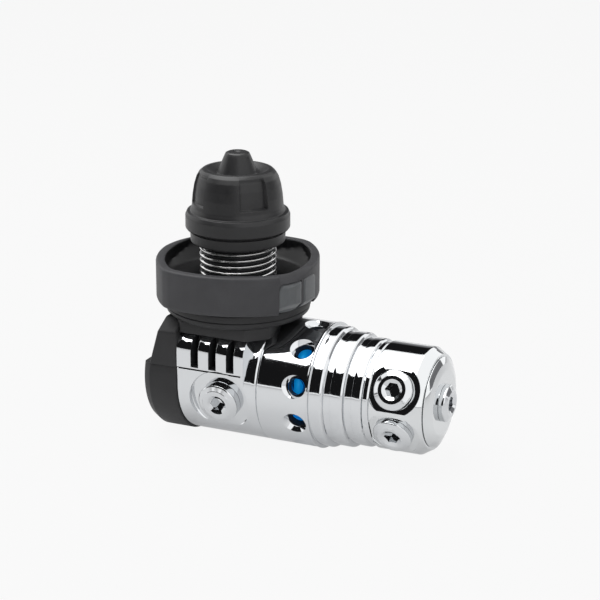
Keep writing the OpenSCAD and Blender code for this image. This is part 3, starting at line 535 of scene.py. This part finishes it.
def moulded(name, colour, rough, grain_mm, depth, sheen=0.0, specular=0.22):
    """Moulded polymer: one body colour, a fine tool grain, and faint cloudy differences in gloss."""
    material = bpy.data.materials.new(name)
    material.use_nodes = True
    tree = material.node_tree
    shader = tree.nodes["Principled BSDF"]
    shader.inputs["IOR"].default_value = 1.5
    shader.inputs["Specular IOR Level"].default_value = specular
    shader.inputs["Sheen Weight"].default_value = sheen
    place = add(tree, "ShaderNodeTexCoord").outputs["Object"]
    cloud = add(tree, "ShaderNodeTexNoise", {"Vector": place, "Scale": 140.0, "Detail": 5.0})  # 7 mm clouding
    tones = add(tree, "ShaderNodeValToRGB", {"Fac": cloud.outputs["Fac"]})
    base = linear(colour)
    tones.color_ramp.elements[0].position, tones.color_ramp.elements[1].position = 0.3, 0.75
    tones.color_ramp.elements[0].color = tuple(c * 0.88 for c in base[:3]) + (1,)
    tones.color_ramp.elements[1].color = tuple(c * 1.12 for c in base[:3]) + (1,)
    tree.links.new(tones.outputs[0], shader.inputs["Base Color"])
    gloss = add(tree, "ShaderNodeMapRange", {"Value": cloud.outputs["Fac"], "To Min": rough - 0.05,
                                             "To Max": rough + 0.07})
    tree.links.new(gloss.outputs[0], shader.inputs["Roughness"])
    pits = add(tree, "ShaderNodeTexVoronoi", {"Vector": place, "Scale": 1 / (grain_mm * MM)}, feature="SMOOTH_F1")
    fine = add(tree, "ShaderNodeTexNoise", {"Vector": place, "Scale": 0.5 / (grain_mm * MM), "Detail": 4.0})
    height = calc(tree, "ADD", pits.outputs["Distance"], fine.outputs["Fac"])
    bump = add(tree, "ShaderNodeBump", {"Height": height, "Strength": 0.5, "Distance": depth * MM})
    tree.links.new(bump.outputs[0], shader.inputs["Normal"])
    return material


nylon = moulded("glass-filled nylon, spark-eroded grain", "#29292a", 0.46, 0.28, 0.03)
cover = lathe("end_cover_shell", soften([
    (0, -22.8, 0), (17.8, -22.8, 0.9), (19.3, -20.2, 0.9), (19.3, -11.3, 0.35), (0, -11.3, 0)]), ALONG, segments=160)
side_view = Matrix.Translation((0, 20, -DROP)) @ Matrix.Rotation(math.pi / 2, 4, "X")
carve(cover, prism("slanting end", [(-24, 5.1), (-20.4, 5.1), (-16.4, 19.6), (-24, 19.6)], 40, side_view))
slope = [Vector((-20.4 + (h - 5.1) * 4 / 14.5, y, h - DROP)) * MM for y, h in (
    (-19, 5.1), (19, 5.1), (19, 15.8), (15.2, 19.6), (-15.2, 19.6), (-19, 15.8))]
hood = loft("hood", [slope, [Vector((-11.3 * MM, p.y, p.z)) for p in slope]])
ease(hood, 0.5, 4)
carve(cover, hood, "UNION")
carve(cover, lathe("cover bore", [(0, -17.1), (12.54, -17.1), (12.54, 0), (0, 0)], ALONG, 160))


def octagon(room=0.0):
    """The saddle's plan in mm, larger by room all round."""
    x, y, c = 16 + room, 17.5 + room, 5.4
    return [(-x, -y + c), (-x + c, -y), (x - c, -y), (x, -y + c), (x, y - c), (x - c, y), (-x + c, y), (-x, y - c)]


carve(cover, prism("saddle room", octagon(0.08), 8, Matrix.Translation((0, 0, -22.05))))
dip(cover, nylon)
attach(cover, "first_stage")
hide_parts("end_cover")

# ----------------------------------------------------------------------------------------
# Saddle and collar disc. The saddle is an eight-sided nylon block that bridges from the round body to the
# flat disc under the handwheel. Both are moulded, with softened edges, and are clamped by the connector's flange.
# ----------------------------------------------------------------------------------------
saddle = prism("saddle_block", octagon(), 3.8, Matrix.Translation((0, 0, -22)))
ease(saddle, 0.4, 3)
carve(saddle, lathe("saddle bed", [(0, -30), (18.78, -30), (18.78, 30), (0, 30)], ALONG, 224))
carve(saddle, lathe("saddle bore", [(0, -30), (8.05, -30), (8.05, 0), (0, 0)], Matrix(), 96))
dip(saddle, nylon)
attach(saddle, "first_stage")
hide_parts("saddle")
disc = lathe("collar_plate", soften([
    (8.05, -18.2, 0.2), (20.5, -18.2, 0.5), (21.4, -17.3, 0.5), (21.55, -16.3, 0.2), (21.25, -16.1, 0),
    (21.25, -15.9, 0), (21.75, -15.8, 0.1), (21.75, -13.8, 0.35), (8.05, -13.8, 0.2)]), Matrix(), 192, nylon)
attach(disc, "first_stage")
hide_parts("collar_disc")

# ----------------------------------------------------------------------------------------
# Barrel. Turned from brass bar and chromed: a perforated ring that lets water on to the spring side of the
# piston, then three narrowing bands with a groove and a tapered lead-in between each.
# ----------------------------------------------------------------------------------------
barrel = lathe("barrel_shell", soften([
    (14.8, 10.05, 0.2), (16.6, 10.05, 0.2), (16.6, 14.5, 0), (18.4, 14.5, 0), (18.75, 14.9, 0.3), (18.75, 30.2, 0.2),
    (18.9, 30.6, 0.15), (18.9, 31.0, 0.08), (18.05, 31.1, 0.1), (18.05, 34.3, 0.35), (17.75, 34.8, 0.3),
    (17.25, 35.1, 0.2), (16.85, 35.25, 0.1), (16.85, 37.2, 0), (17.1, 37.2, 0.08), (17.1, 40.5, 0.35),
    (16.75, 41.0, 0.25), (16.3, 41.2, 0.15), (15.85, 41.3, 0.08), (15.85, 43.5, 0), (16.1, 43.5, 0.08),
    (16.1, 46.0, 0.3), (15.85, 46.45, 0.2), (15.3, 46.7, 0.1), (15.3, 47.9, 0.1), (15.0, 48.4, 0.1),
    (8.05, 48.4, 0), (8.05, 45.5, 0), (14.8, 45.5, 0)]), ALONG, segments=240)
drill(barrel, "ambient holes", lathe("ambient hole cutter", [
    (0, 13), (2.3, 13), (2.3, 17.1), (2.42, 17.35), (3.7, 18.7), (4.2, 19.2), (4.2, 24), (0, 24)], Matrix(), 64),
    chrome, count=10, first=14.6, step=36.0, half=72.0, x=26.4)


def in_bore(spot):
    """Whether a point lies inside the perforated ring or on a hole's narrow wall."""
    return spot.x < 35 * MM and math.hypot(spot.y, spot.z + DROP * MM) < 17.05 * MM


# The bore and the holes' inner walls take the dark plate: painted shade inside the barrel.
part_out(barrel, chrome, painted_shade_plate, in_bore)
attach(barrel, "first_stage")
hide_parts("barrel")

# ----------------------------------------------------------------------------------------
# Main spring. Round spring steel wire, coiled with closed ends and powder coated blue. It shows through the
# ambient holes. A spiral curve is swept with the wire's section.
# ----------------------------------------------------------------------------------------
coated = moulded("blue powder coat on spring steel, with painted glow", "#18a8f0", 0.32, 0.35, 0.02)
# The coat glows a little: painted light, so that the spring shows bright blue in the barrel's shade.
coated.node_tree.nodes["Principled BSDF"].inputs["Emission Color"].default_value = linear("#0a8fe0")
coated.node_tree.nodes["Principled BSDF"].inputs["Emission Strength"].default_value = 0.36  # painted light: a faint glow
spring = link("coil_spring", bpy.data.meshes.new("coil_spring"))
# Radii of the wire and the coil, first coil's middle, length between end coils, end pitch (mm) and start angle.
COIL = {"wire": 1.5, "coil": 12.2, "turns": 5.0, "start": 11.5, "room": 26.9, "close": 3.06, "phase": -37.7}
STEPS = 48  # points in a turn
tree, size = sockets("coil spring", **COIL)
count = calc(tree, "MULTIPLY_ADD", size["turns"], STEPS, 1.0)
run = add(tree, "GeometryNodeMeshLine", {"Count": count, "Offset": (0, 0, 0)}).outputs[0]
number = add(tree, "GeometryNodeInputIndex").outputs[0]
turned_by = calc(tree, "MULTIPLY", number, 1 / STEPS)
begin = calc(tree, "RADIANS", size["phase"])
angle = calc(tree, "MULTIPLY_ADD", turned_by, 2 * math.pi, begin)
low = calc(tree, "MINIMUM", turned_by, 1.0)
last = calc(tree, "SUBTRACT", size["turns"], 1.0)
high = calc(tree, "MAXIMUM", calc(tree, "SUBTRACT", turned_by, last), 0.0)
ends = calc(tree, "ADD", low, high)
middle = calc(tree, "SUBTRACT", turned_by, ends)
open_room = calc(tree, "MULTIPLY_ADD", size["close"], -2.0, size["room"])
open_turns = calc(tree, "SUBTRACT", size["turns"], 2.0)
pitch = calc(tree, "DIVIDE", open_room, open_turns)
rise = calc(tree, "MULTIPLY_ADD", ends, size["close"], size["start"])
rise = calc(tree, "MULTIPLY_ADD", middle, pitch, rise)
across = calc(tree, "MULTIPLY", calc(tree, "COSINE", angle), size["coil"])
above = calc(tree, "MULTIPLY_ADD", calc(tree, "SINE", angle), size["coil"], -DROP)
where = add(tree, "ShaderNodeCombineXYZ", {"X": rise, "Y": across, "Z": above}).outputs[0]
where = add(tree, "ShaderNodeVectorMath", {0: where, "Scale": MM}, operation="SCALE").outputs[0]
line = add(tree, "GeometryNodeSetPosition", {"Geometry": run, "Position": where}).outputs[0]
curve = add(tree, "GeometryNodeMeshToCurve", {"Mesh": line}).outputs[0]
section = add(tree, "GeometryNodeCurvePrimitiveCircle", {
    "Resolution": 18, "Radius": calc(tree, "MULTIPLY", size["wire"], MM)})
swept = add(tree, "GeometryNodeCurveToMesh", {"Curve": curve, "Profile Curve": section.outputs[0], "Fill Caps": True})
coat = add(tree, "GeometryNodeSetMaterial", {"Geometry": swept.outputs[0], "Material": coated})
grow(spring, tree, coat.outputs[0], 50, **COIL)
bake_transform(spring)
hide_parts("main_spring")

# ----------------------------------------------------------------------------------------
# Turret and its hollow retaining bolt. Turned brass, polished and chromed. The turret swivels on the bolt's stem
# and has four low-pressure ports in two pairs, each with a shallow spotface.
# ----------------------------------------------------------------------------------------
turret = lathe("turret_shell", soften([
    (8.06, 48.6, 0.1), (15.5, 48.6, 0.1), (15.95, 49.0, 0.35), (15.95, 61.5, 0.9), (15.2, 62.6, 0.5),
    (14.1, 64.4, 0.15), (8.06, 64.4, 0)], 6), ALONG, segments=256)
HOSE_PORTS = {"count": 4, "first": -26.3, "step": 52.6, "half": 180.0, "x": 55.7}
drill(turret, "low-pressure ports", lathe("port cutter", [
    (0, 8), (4.76, 8), (4.76, 13.4), (5.42, 13.4), (5.42, 14.6), (7.75, 14.6), (7.9, 14.75), (7.9, 20), (0, 20)],
    Matrix(), 96), turned_chrome, **HOSE_PORTS)
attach(turret, "turret")
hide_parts("turret")

bolt = lathe("retaining_bolt", soften([
    (3.96, 45.4, 0), (7.6, 45.4, 0.2), (8.0, 45.9, 0.2), (8.0, 64.5, 0), (13.9, 64.5, 0.15), (11.6, 65.6, 0.5),
    (9.6, 66.2, 0.4), (5.0, 66.2, 0), (5.0, 65.0, 0), (4.76, 65.0, 0), (4.76, 60.0, 0), (3.96, 60.0, 0)], 5),
    ALONG, 192, turned_chrome)
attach(bolt, "first_stage")
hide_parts("turret_retainer")

# ----------------------------------------------------------------------------------------
# Port plugs. Turned from chromed brass: a head with a bevelled face, a socket for a 4 mm hexagon key with a
# chamfered mouth, and a short thread behind a sealing neck. One tree sets each size of plug on its ports.
# ----------------------------------------------------------------------------------------
plug_chrome = chromed("chrome plate on turned plug", 0.07, "#cfd1d3")


def plug(name, seat, out, head, thread, neck, deep):
    """A plug, its Z out of the port. Its seat, face (out) and foot (deep) are in mm from the port's far axis, and
    its head, thread and neck are radii."""
    piece = lathe(name, soften([
        (0, deep, 0), (thread - 0.5, deep, 0), (thread, deep + 0.5, 0), (thread, seat - 1.5, 0), (neck, seat - 1.45, 0),
        (neck, seat + 0.02, 0), (head, seat + 0.02, 0.15), (head, out - 0.86, 0.2), (head - 0.3, out - 0.62, 0.2),
        (head - 1.5, out - 0.1, 0.12), (head - 1.62, out, 0.05), (0, out, 0)], 4), Matrix(), 112)
    carve(piece, prism("hexagon key", [(2.31 * math.cos(math.radians(t)), 2.31 * math.sin(math.radians(t)))
                                       for t in range(0, 360, 60)], 4, Matrix.Translation((0, 0, out - 2.6))))
    carve(piece, lathe("socket mouth", [(0, out - 0.7), (2.0, out - 0.7), (3.1, out), (3.3, out + 0.2), (0, out + 0.2)],
                       Matrix(), 72))
    return piece


def set_plugs(name, tool, body, cad_node, **sizes):
    """Sets copies of a plug on their ports as one piece of a body."""
    tool.data.transform(UPRIGHT)
    piece = link(name, bpy.data.meshes.new(name))
    tree, size = sockets(name, tool=tool, **sizes)
    done = add(tree, "GeometryNodeSetMaterial", {"Geometry": placed_ring(tree, size), "Material": plug_chrome})
    grow(piece, tree, done.outputs[0], tool=tool, **sizes)
    bpy.data.objects.remove(tool)
    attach(piece, body)
    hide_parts(cad_node)


set_plugs("hose_port_plugs", plug("hose port plug", 14.6, 17.0, 5.8, 4.72, 4.03, 10.6), "turret",
          "low_pressure_plugs", **HOSE_PORTS)
set_plugs("gauge_port_plugs", plug("gauge port plug", 17.0, 20.3, 6.2, 5.52, 4.43, 10.0), "first_stage",
          "high_pressure_plugs", **GAUGE_PORTS)
end_plug = plug("end_port_plug", 66.2, 68.6, 5.5, 4.72, 3.7, 60.5)
end_plug.data.transform(Matrix.Translation((0, 0, -DROP * MM)) @ Matrix.Rotation(math.pi / 2, 4, "Y"))
dip(end_plug, plug_chrome)
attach(end_plug, "first_stage")
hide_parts("axial_plug")

# ----------------------------------------------------------------------------------------
# Threaded sleeve. Chromed brass with the G5/8 cylinder thread, rounded at its crests and roots. The handwheel
# turns it. The tree pulls a dense turned sleeve in along a helix that fades out at both ends.
# ----------------------------------------------------------------------------------------
thread_chrome = chromed("chrome plate on cut thread", 0.11, "#d6d6d6", 0.01)
CREST, LOW, HIGH = 11.455, -7.5, 9.8
THREAD = {"crest": CREST, "pitch": 1.814, "depth": 1.05}  # mm
wall = [(CREST, LOW + (HIGH - 0.9 - LOW) * k / 180, 0) for k in range(181)]
sleeve = lathe("threaded_sleeve", soften([
    (6.86, -12.2, 0.2), (13.7, -12.2, 0), (14.0, -11.9, 0), (14.0, -8.5, 0), (11.0, -8.5, 0), (11.0, LOW, 0)] + wall + [
    (CREST - 0.9, HIGH, 0.2), (8.66, HIGH, 0.2), (8.66, 6.9, 0), (6.86, 6.9, 0)]), Matrix(), 240)
tree, size = sockets("helical thread", **THREAD)
spot = add(tree, "GeometryNodeInputPosition").outputs[0]
part = add(tree, "ShaderNodeSeparateXYZ", {0: spot}).outputs
flat = add(tree, "ShaderNodeCombineXYZ", {"X": part["X"], "Y": part["Y"]}).outputs[0]
radius = add(tree, "ShaderNodeVectorMath", {0: flat}, operation="LENGTH").outputs["Value"]
outward = add(tree, "ShaderNodeVectorMath", {0: flat}, operation="NORMALIZE").outputs[0]
angle = calc(tree, "ARCTAN2", part["Y"], part["X"])
lift = calc(tree, "MULTIPLY", part["Z"], 1 / MM)
rows_up = calc(tree, "DIVIDE", lift, size["pitch"])
phase = calc(tree, "MULTIPLY_ADD", angle, -1 / (2 * math.pi), rows_up)
ridge = calc(tree, "PINGPONG", phase, 0.5)
form = add(tree, "ShaderNodeMapRange", {"Value": ridge, "From Min": 0.04, "From Max": 0.46},
           interpolation_type="SMOOTHSTEP")
near_low = add(tree, "ShaderNodeMapRange", {"Value": lift, "From Min": LOW, "From Max": LOW + 0.5})
near_high = add(tree, "ShaderNodeMapRange", {"Value": lift, "From Min": HIGH - 1.0, "From Max": HIGH - 2.2})
near = calc(tree, "MULTIPLY", near_low.outputs[0], near_high.outputs[0])
amount = calc(tree, "MULTIPLY", calc(tree, "MULTIPLY", form.outputs[0], near), size["depth"])
amount = calc(tree, "MULTIPLY", amount, -MM)
shift = add(tree, "ShaderNodeVectorMath", {0: outward, "Scale": amount}, operation="SCALE").outputs[0]
rim = calc(tree, "MULTIPLY_ADD", size["crest"], MM, -0.02 * MM)
past = {"data_type": "FLOAT", "operation": "GREATER_THAN"}
on_crest = add(tree, "FunctionNodeCompare", {0: radius, 1: rim}, **past).outputs[0]
above_low = add(tree, "FunctionNodeCompare", {0: lift, 1: LOW - 0.01}, **past).outputs[0]
chosen = add(tree, "FunctionNodeBooleanMath", {0: on_crest, 1: above_low}, operation="AND").outputs[0]
moved = add(tree, "GeometryNodeSetPosition", {"Geometry": size["Geometry"], "Selection": chosen, "Offset": shift})
done = add(tree, "GeometryNodeSetMaterial", {"Geometry": moved.outputs[0], "Material": thread_chrome})
grow(sleeve, tree, done.outputs[0], 80, **THREAD)


def in_root(spot):
    """Whether a point lies deep in the thread, where no light gets."""
    return LOW < spot.z / MM < HIGH - 0.9 and 9.5 < spot.xy.length / MM < CREST - 0.62


part_out(sleeve, thread_chrome, painted_shade_plate, in_root)
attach(sleeve, "handwheel")
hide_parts("din_sleeve")

# ----------------------------------------------------------------------------------------
# Handwheel. Moulded nylon with four bowed sides, left bare, and a grip of two soft pads on two opposite corners.
# Its dish follows the outline inside a rounded rim, and the rim is bevelled off above and below the pads.
# ----------------------------------------------------------------------------------------
wheel_nylon = moulded("moulded nylon, fine satin grain", "#38383a", 0.5, 0.3, 0.025)
soft_grip = moulded("overmoulded soft grip rubber", "#4c4e50", 0.62, 0.22, 0.03, 0.25)
GRIPS = (-17, 163)  # where the two grips' middles are, degrees
CORNER_R, BOW_R, BOW_OFF = 26.2, 34.9, 10.7  # over the corners; a bowed side's radius and how far off its centre is


def wheel_r(angle, out_by):
    """Radius of the wheel's outline at an angle: four bowed sides inside a circle, all moved out by out_by mm."""
    best = CORNER_R + out_by
    for side in (17, 107, 197, 287):
        t = math.radians(angle - side)
        if math.cos(t) > 0:
            reach = math.sqrt((BOW_R + out_by) ** 2 - (BOW_OFF * math.sin(t)) ** 2)
            best = min(best, reach - BOW_OFF * math.cos(t))
    return best


def rings(name, levels, columns, material, sharp):
    """A closed piece from stacked rings. Each level is a function of the angle that gives (radius, height) in mm."""
    verts, n = [], len(columns)
    for level in levels:
        for t in columns:
            r, h = level(t)
            verts.append(Vector((r * math.cos(math.radians(t)), r * math.sin(math.radians(t)), h)) * MM)
    faces = []
    for a in range(len(levels)):
        b = (a + 1) % len(levels)
        faces += [[a * n + k, a * n + (k + 1) % n, b * n + (k + 1) % n, b * n + k] for k in range(n)]
    return solid(name, verts, faces, material, sharp)


def outer(inset, h):
    """The rim's outside at one height, inset mm in from the outline, and further in where the grips' bevels are."""
    limit = 24.1 + 0.75 * (-1.4 - h) if h > -4.6 else (23.2 + (h + 13.2) * 3 / 2.8 if h < -10.4 else 99)

    def level(t):
        gripped = any(abs((t - g + 180) % 360 - 180) < 19.55 for g in GRIPS)
        return min(wheel_r(t, -inset), limit - 0.25 * inset if gripped else 99), h
    return level


def inner(inset, h):
    """The dish at one height: inside the rim, or on the cone that leads to its floor."""
    return lambda t: (min(wheel_r(t, -inset), 27.1 + h), h)


def plain(r, h):
    """The same radius all round."""
    return lambda t: (r, h)


columns = sorted({k * 1.5 for k in range(240)} | {(g + d) % 360 for g in GRIPS for d in (-19.65, -19.45, 19.45, 19.65)})
levels = [plain(14.05, -13.2)] + [outer(inset, h) for inset, h in (
    (0.8, -13.2), (0.4, -13.1), (0.14, -12.85), (0, -12.4), (0, -11.8), (0, -11.1), (0, -10.4), (0, -9), (0, -7.5),
    (0, -6), (0, -4.6), (0, -3.6), (0, -2.8), (0, -2.2), (0.06, -1.9), (0.2, -1.65), (0.45, -1.48), (0.8, -1.4))]
levels += [inner(inset, h) for inset, h in ((2.35, -1.4), (2.5, -1.46), (2.62, -1.6))]
levels += [inner(2.7, h) for h in (-1.9, -2.6, -3.3, -4.0, -4.6, -5.2, -5.8, -6.4, -6.8)]
levels += [plain(r, h) for r, h in (
    (19.8, -7.2), (19.2, -7.42), (18.4, -7.5), (16.0, -7.5), (11.9, -7.5), (11.6, -7.65), (11.5, -8.0), (11.5, -8.46),
    (14.05, -8.46))]
wheel = rings("handwheel_rim", levels, columns, None, 34)


def pad(middle, side, extra):
    """A soft pad, 18 degrees wide, its outer upper corner rounded; with extra, the pocket that takes it."""
    runs, span = [], 9 + 3 * extra
    for k in range(37):
        t = middle + span * (k / 18 - 1)
        off = (t - middle) * side - (span - 4.4)
        drop = 1.9 * (1 - math.sqrt(max(0.0, 1 - (off / 4.4) ** 2))) if off > 0 else 0.0
        low, high = -12.8 - extra, -3.9 + extra - drop
        ends = (0.4, 0.12, 0.03)[min(k, 36 - k)] if min(k, 36 - k) < 3 else 0
        run = [(wheel_r(t, -1.9 - extra), low), (wheel_r(t, -1.9 - extra), high)]
        for f in (1, 0.985, 0.96, 0.93, 0.88, 0.75, 0.6, 0.45, 0.32, 0.27, 0.22, 0.12, 0.04, 0):
            z = low + (high - low) * f
            r = min(wheel_r(t, 0.3), 23.5 + (z + 12.8) * 1.125, 25.5 + (high - z)) - ends
            r -= 0.9 * max(0.0, 0.6 - (high - z)) ** 2
            run.append((r if not extra else 28, z))
        runs.append([Vector((r * math.cos(math.radians(t)), r * math.sin(math.radians(t)), z)) * MM for r, z in run])
    return loft("pad", runs, 40)


pads = []
for grip in GRIPS:
    for side in (-1, 1):
        pads.append(pad(grip + side * 10.55, side, 0))
        carve(wheel, pad(grip + side * 10.55, side, 0.1))


def in_dish(spot):
    """Whether a point lies on the dish or its wall."""
    inside = spot.xy.length / MM < wheel_r(math.degrees(math.atan2(spot.y, spot.x)), -2.3)
    return inside and -7.7 < spot.z / MM < -1.8


# The dish's nylon is near black and glossier than the rim: the near black is painted shade in the hollow inside the
# rim.
part_out(wheel, wheel_nylon, moulded("moulded nylon, dish darkened as painted shade", "#0f0f10", 0.36, 0.5, 0.02), in_dish)
with bpy.context.temp_override(active_object=pads[0], selected_editable_objects=pads, selected_objects=pads):
    bpy.ops.object.join()
grips = pads[0]
grips.name = "soft_grips"
dip(grips, soft_grip)
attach(wheel, "handwheel")
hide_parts("handwheel")
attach(grips, "handwheel")
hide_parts("grip_pads")

# ----------------------------------------------------------------------------------------
# Dust cap. Injection-moulded polyethylene that pushes over the thread: a plain skirt, a stiff flange, a dome with
# four thumb pockets and a pull nose. It has a satin skin and a hairline where the skirt meets the flange.
# ----------------------------------------------------------------------------------------
cap_skin = moulded("moulded polyethylene, satin skin", "#1f1f20", 0.37, 0.35, 0.02, specular=0.36)
outline = split(soften([
    (11.8, 3.3, 0.2), (14.0, 3.3, 0.3), (14.15, 6.42, 0.05), (13.98, 6.52, 0), (14.15, 6.62, 0.05), (15.15, 7.2, 0.3),
    (15.5, 7.7, 0.3), (15.5, 11.3, 0.4), (15.0, 12.4, 0.2), (14.05, 12.6, 0.25), (13.9, 13.2, 0.4), (13.55, 14.0, 0.5),
    (13.456, 15.1, 0), (13.45, 15.17, 0), (13.437, 15.32, 0), (13.43, 15.4, 0), (13.25, 17.5, 2), (12.75, 20.5, 2),
    (12.05, 22.8, 1.2), (11.3, 24.1, 0.8), (10.3, 24.9, 0.8), (9.2, 25.1, 0.6), (6.1, 23.6, 0.5), (3.8, 29.1, 0.4),
    (3.5, 29.7, 0.3), (2.9, 30.0, 0.3), (1.4, 30.0, 0.3), (0.7, 29.7, 0.2), (0.001, 29.6, 0), (0.001, 11.8, 0),
    (11.8, 11.8, 0)], 4), 0.4)
POCKET = -61.2  # one edge of the first pocket, degrees; each is 38 wide
columns = []
for k in range(4):
    start = POCKET + 90 * k
    columns += [start + d for d in (-0.7, -0.25, 0.25, 0.7)]
    columns += [start + 0.7 + 36.6 * j / 18 for j in range(1, 18)]
    columns += [start + 38 + d for d in (-0.7, -0.25, 0.25, 0.7)]
    columns += [start + 38.7 + 50.6 * j / 22 for j in range(1, 22)]


def smooth(a, b, x):
    """Rises smoothly from 0 at a to 1 at b."""
    t = max(0.0, min(1.0, (x - a) / (b - a)))
    return t * t * (3 - 2 * t)


def capped(r, h):
    """One ring of the cap: in the dome the four pockets are pressed in, deeper towards one edge."""
    tall = smooth(15.12, 15.36, h) * (1 - smooth(23.1, 24.5, h)) * (0.92 - 0.03 * (h - 15.2))

    def level(t):
        local = (t - POCKET) % 90
        inside = smooth(-0.5, 0.5, local if local < 80 else local - 90) * (1 - smooth(37.5, 38.5, local))
        return r - (0.75 + 0.6 * max(0.0, min(1.0, local / 38))) * inside * tall, h
    return level if r > 7 else plain(r, h)


cap = rings("dust_cap_shell", [capped(r, h) for r, h in outline], columns, cap_skin, 38)
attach(cap, "dust_cap")
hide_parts("dust_cap")

# ----------------------------------------------------------------------------------------
# Inner pieces. They keep their turned shapes: the connector with its filter, clip and seals, the piston and its
# seat, and the washers. They show when the cap is off, or through the holes.
# ----------------------------------------------------------------------------------------


def turned(name, colour, rough):
    """Bare turned metal, as chromed() but slightly tarnished."""
    material = chromed(name, rough, colour)
    tree = material.node_tree
    shader = tree.nodes["Principled BSDF"]
    place = add(tree, "ShaderNodeTexCoord").outputs["Object"]
    stain = add(tree, "ShaderNodeTexNoise", {"Vector": place, "Scale": 90.0, "Detail": 6.0})  # 11 mm tarnish
    tones = add(tree, "ShaderNodeValToRGB", {"Fac": stain.outputs["Fac"]})
    tones.color_ramp.elements[0].color = tuple(c * 0.8 for c in linear(colour)[:3]) + (1,)
    tones.color_ramp.elements[1].color = linear(colour)
    tree.links.new(tones.outputs[0], shader.inputs["Base Color"])
    return material


def dress(material, *names):
    """Gives CAD nodes a material."""
    for name in names:
        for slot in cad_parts[name].material_slots:
            slot.material = material


nitrile = moulded("moulded nitrile rubber", "#232324", 0.45, 0.2, 0.01)
acetal = moulded("machined acetal", "#e6e4da", 0.38, 0.3, 0.01)
dress(turned("bare turned brass", "#c9a765", 0.2), "seat_retainer")
dress(turned("bare turned stainless steel", "#bdbdbc", 0.18), "piston", "filter_clip")
dress(turned("sintered bronze", "#9a8468", 0.55), "inlet_filter")
dress(thread_chrome, "din_connector")
dress(nitrile, "seat_retainer_oring", "connector_oring", "face_oring", "stem_oring", "high_pressure_orings",
      "turret_orings", "axial_plug_oring", "piston_oring", "low_pressure_orings")
dress(acetal, "valve_seat", "stem_bushing", "spring_pad", "turret_washer")
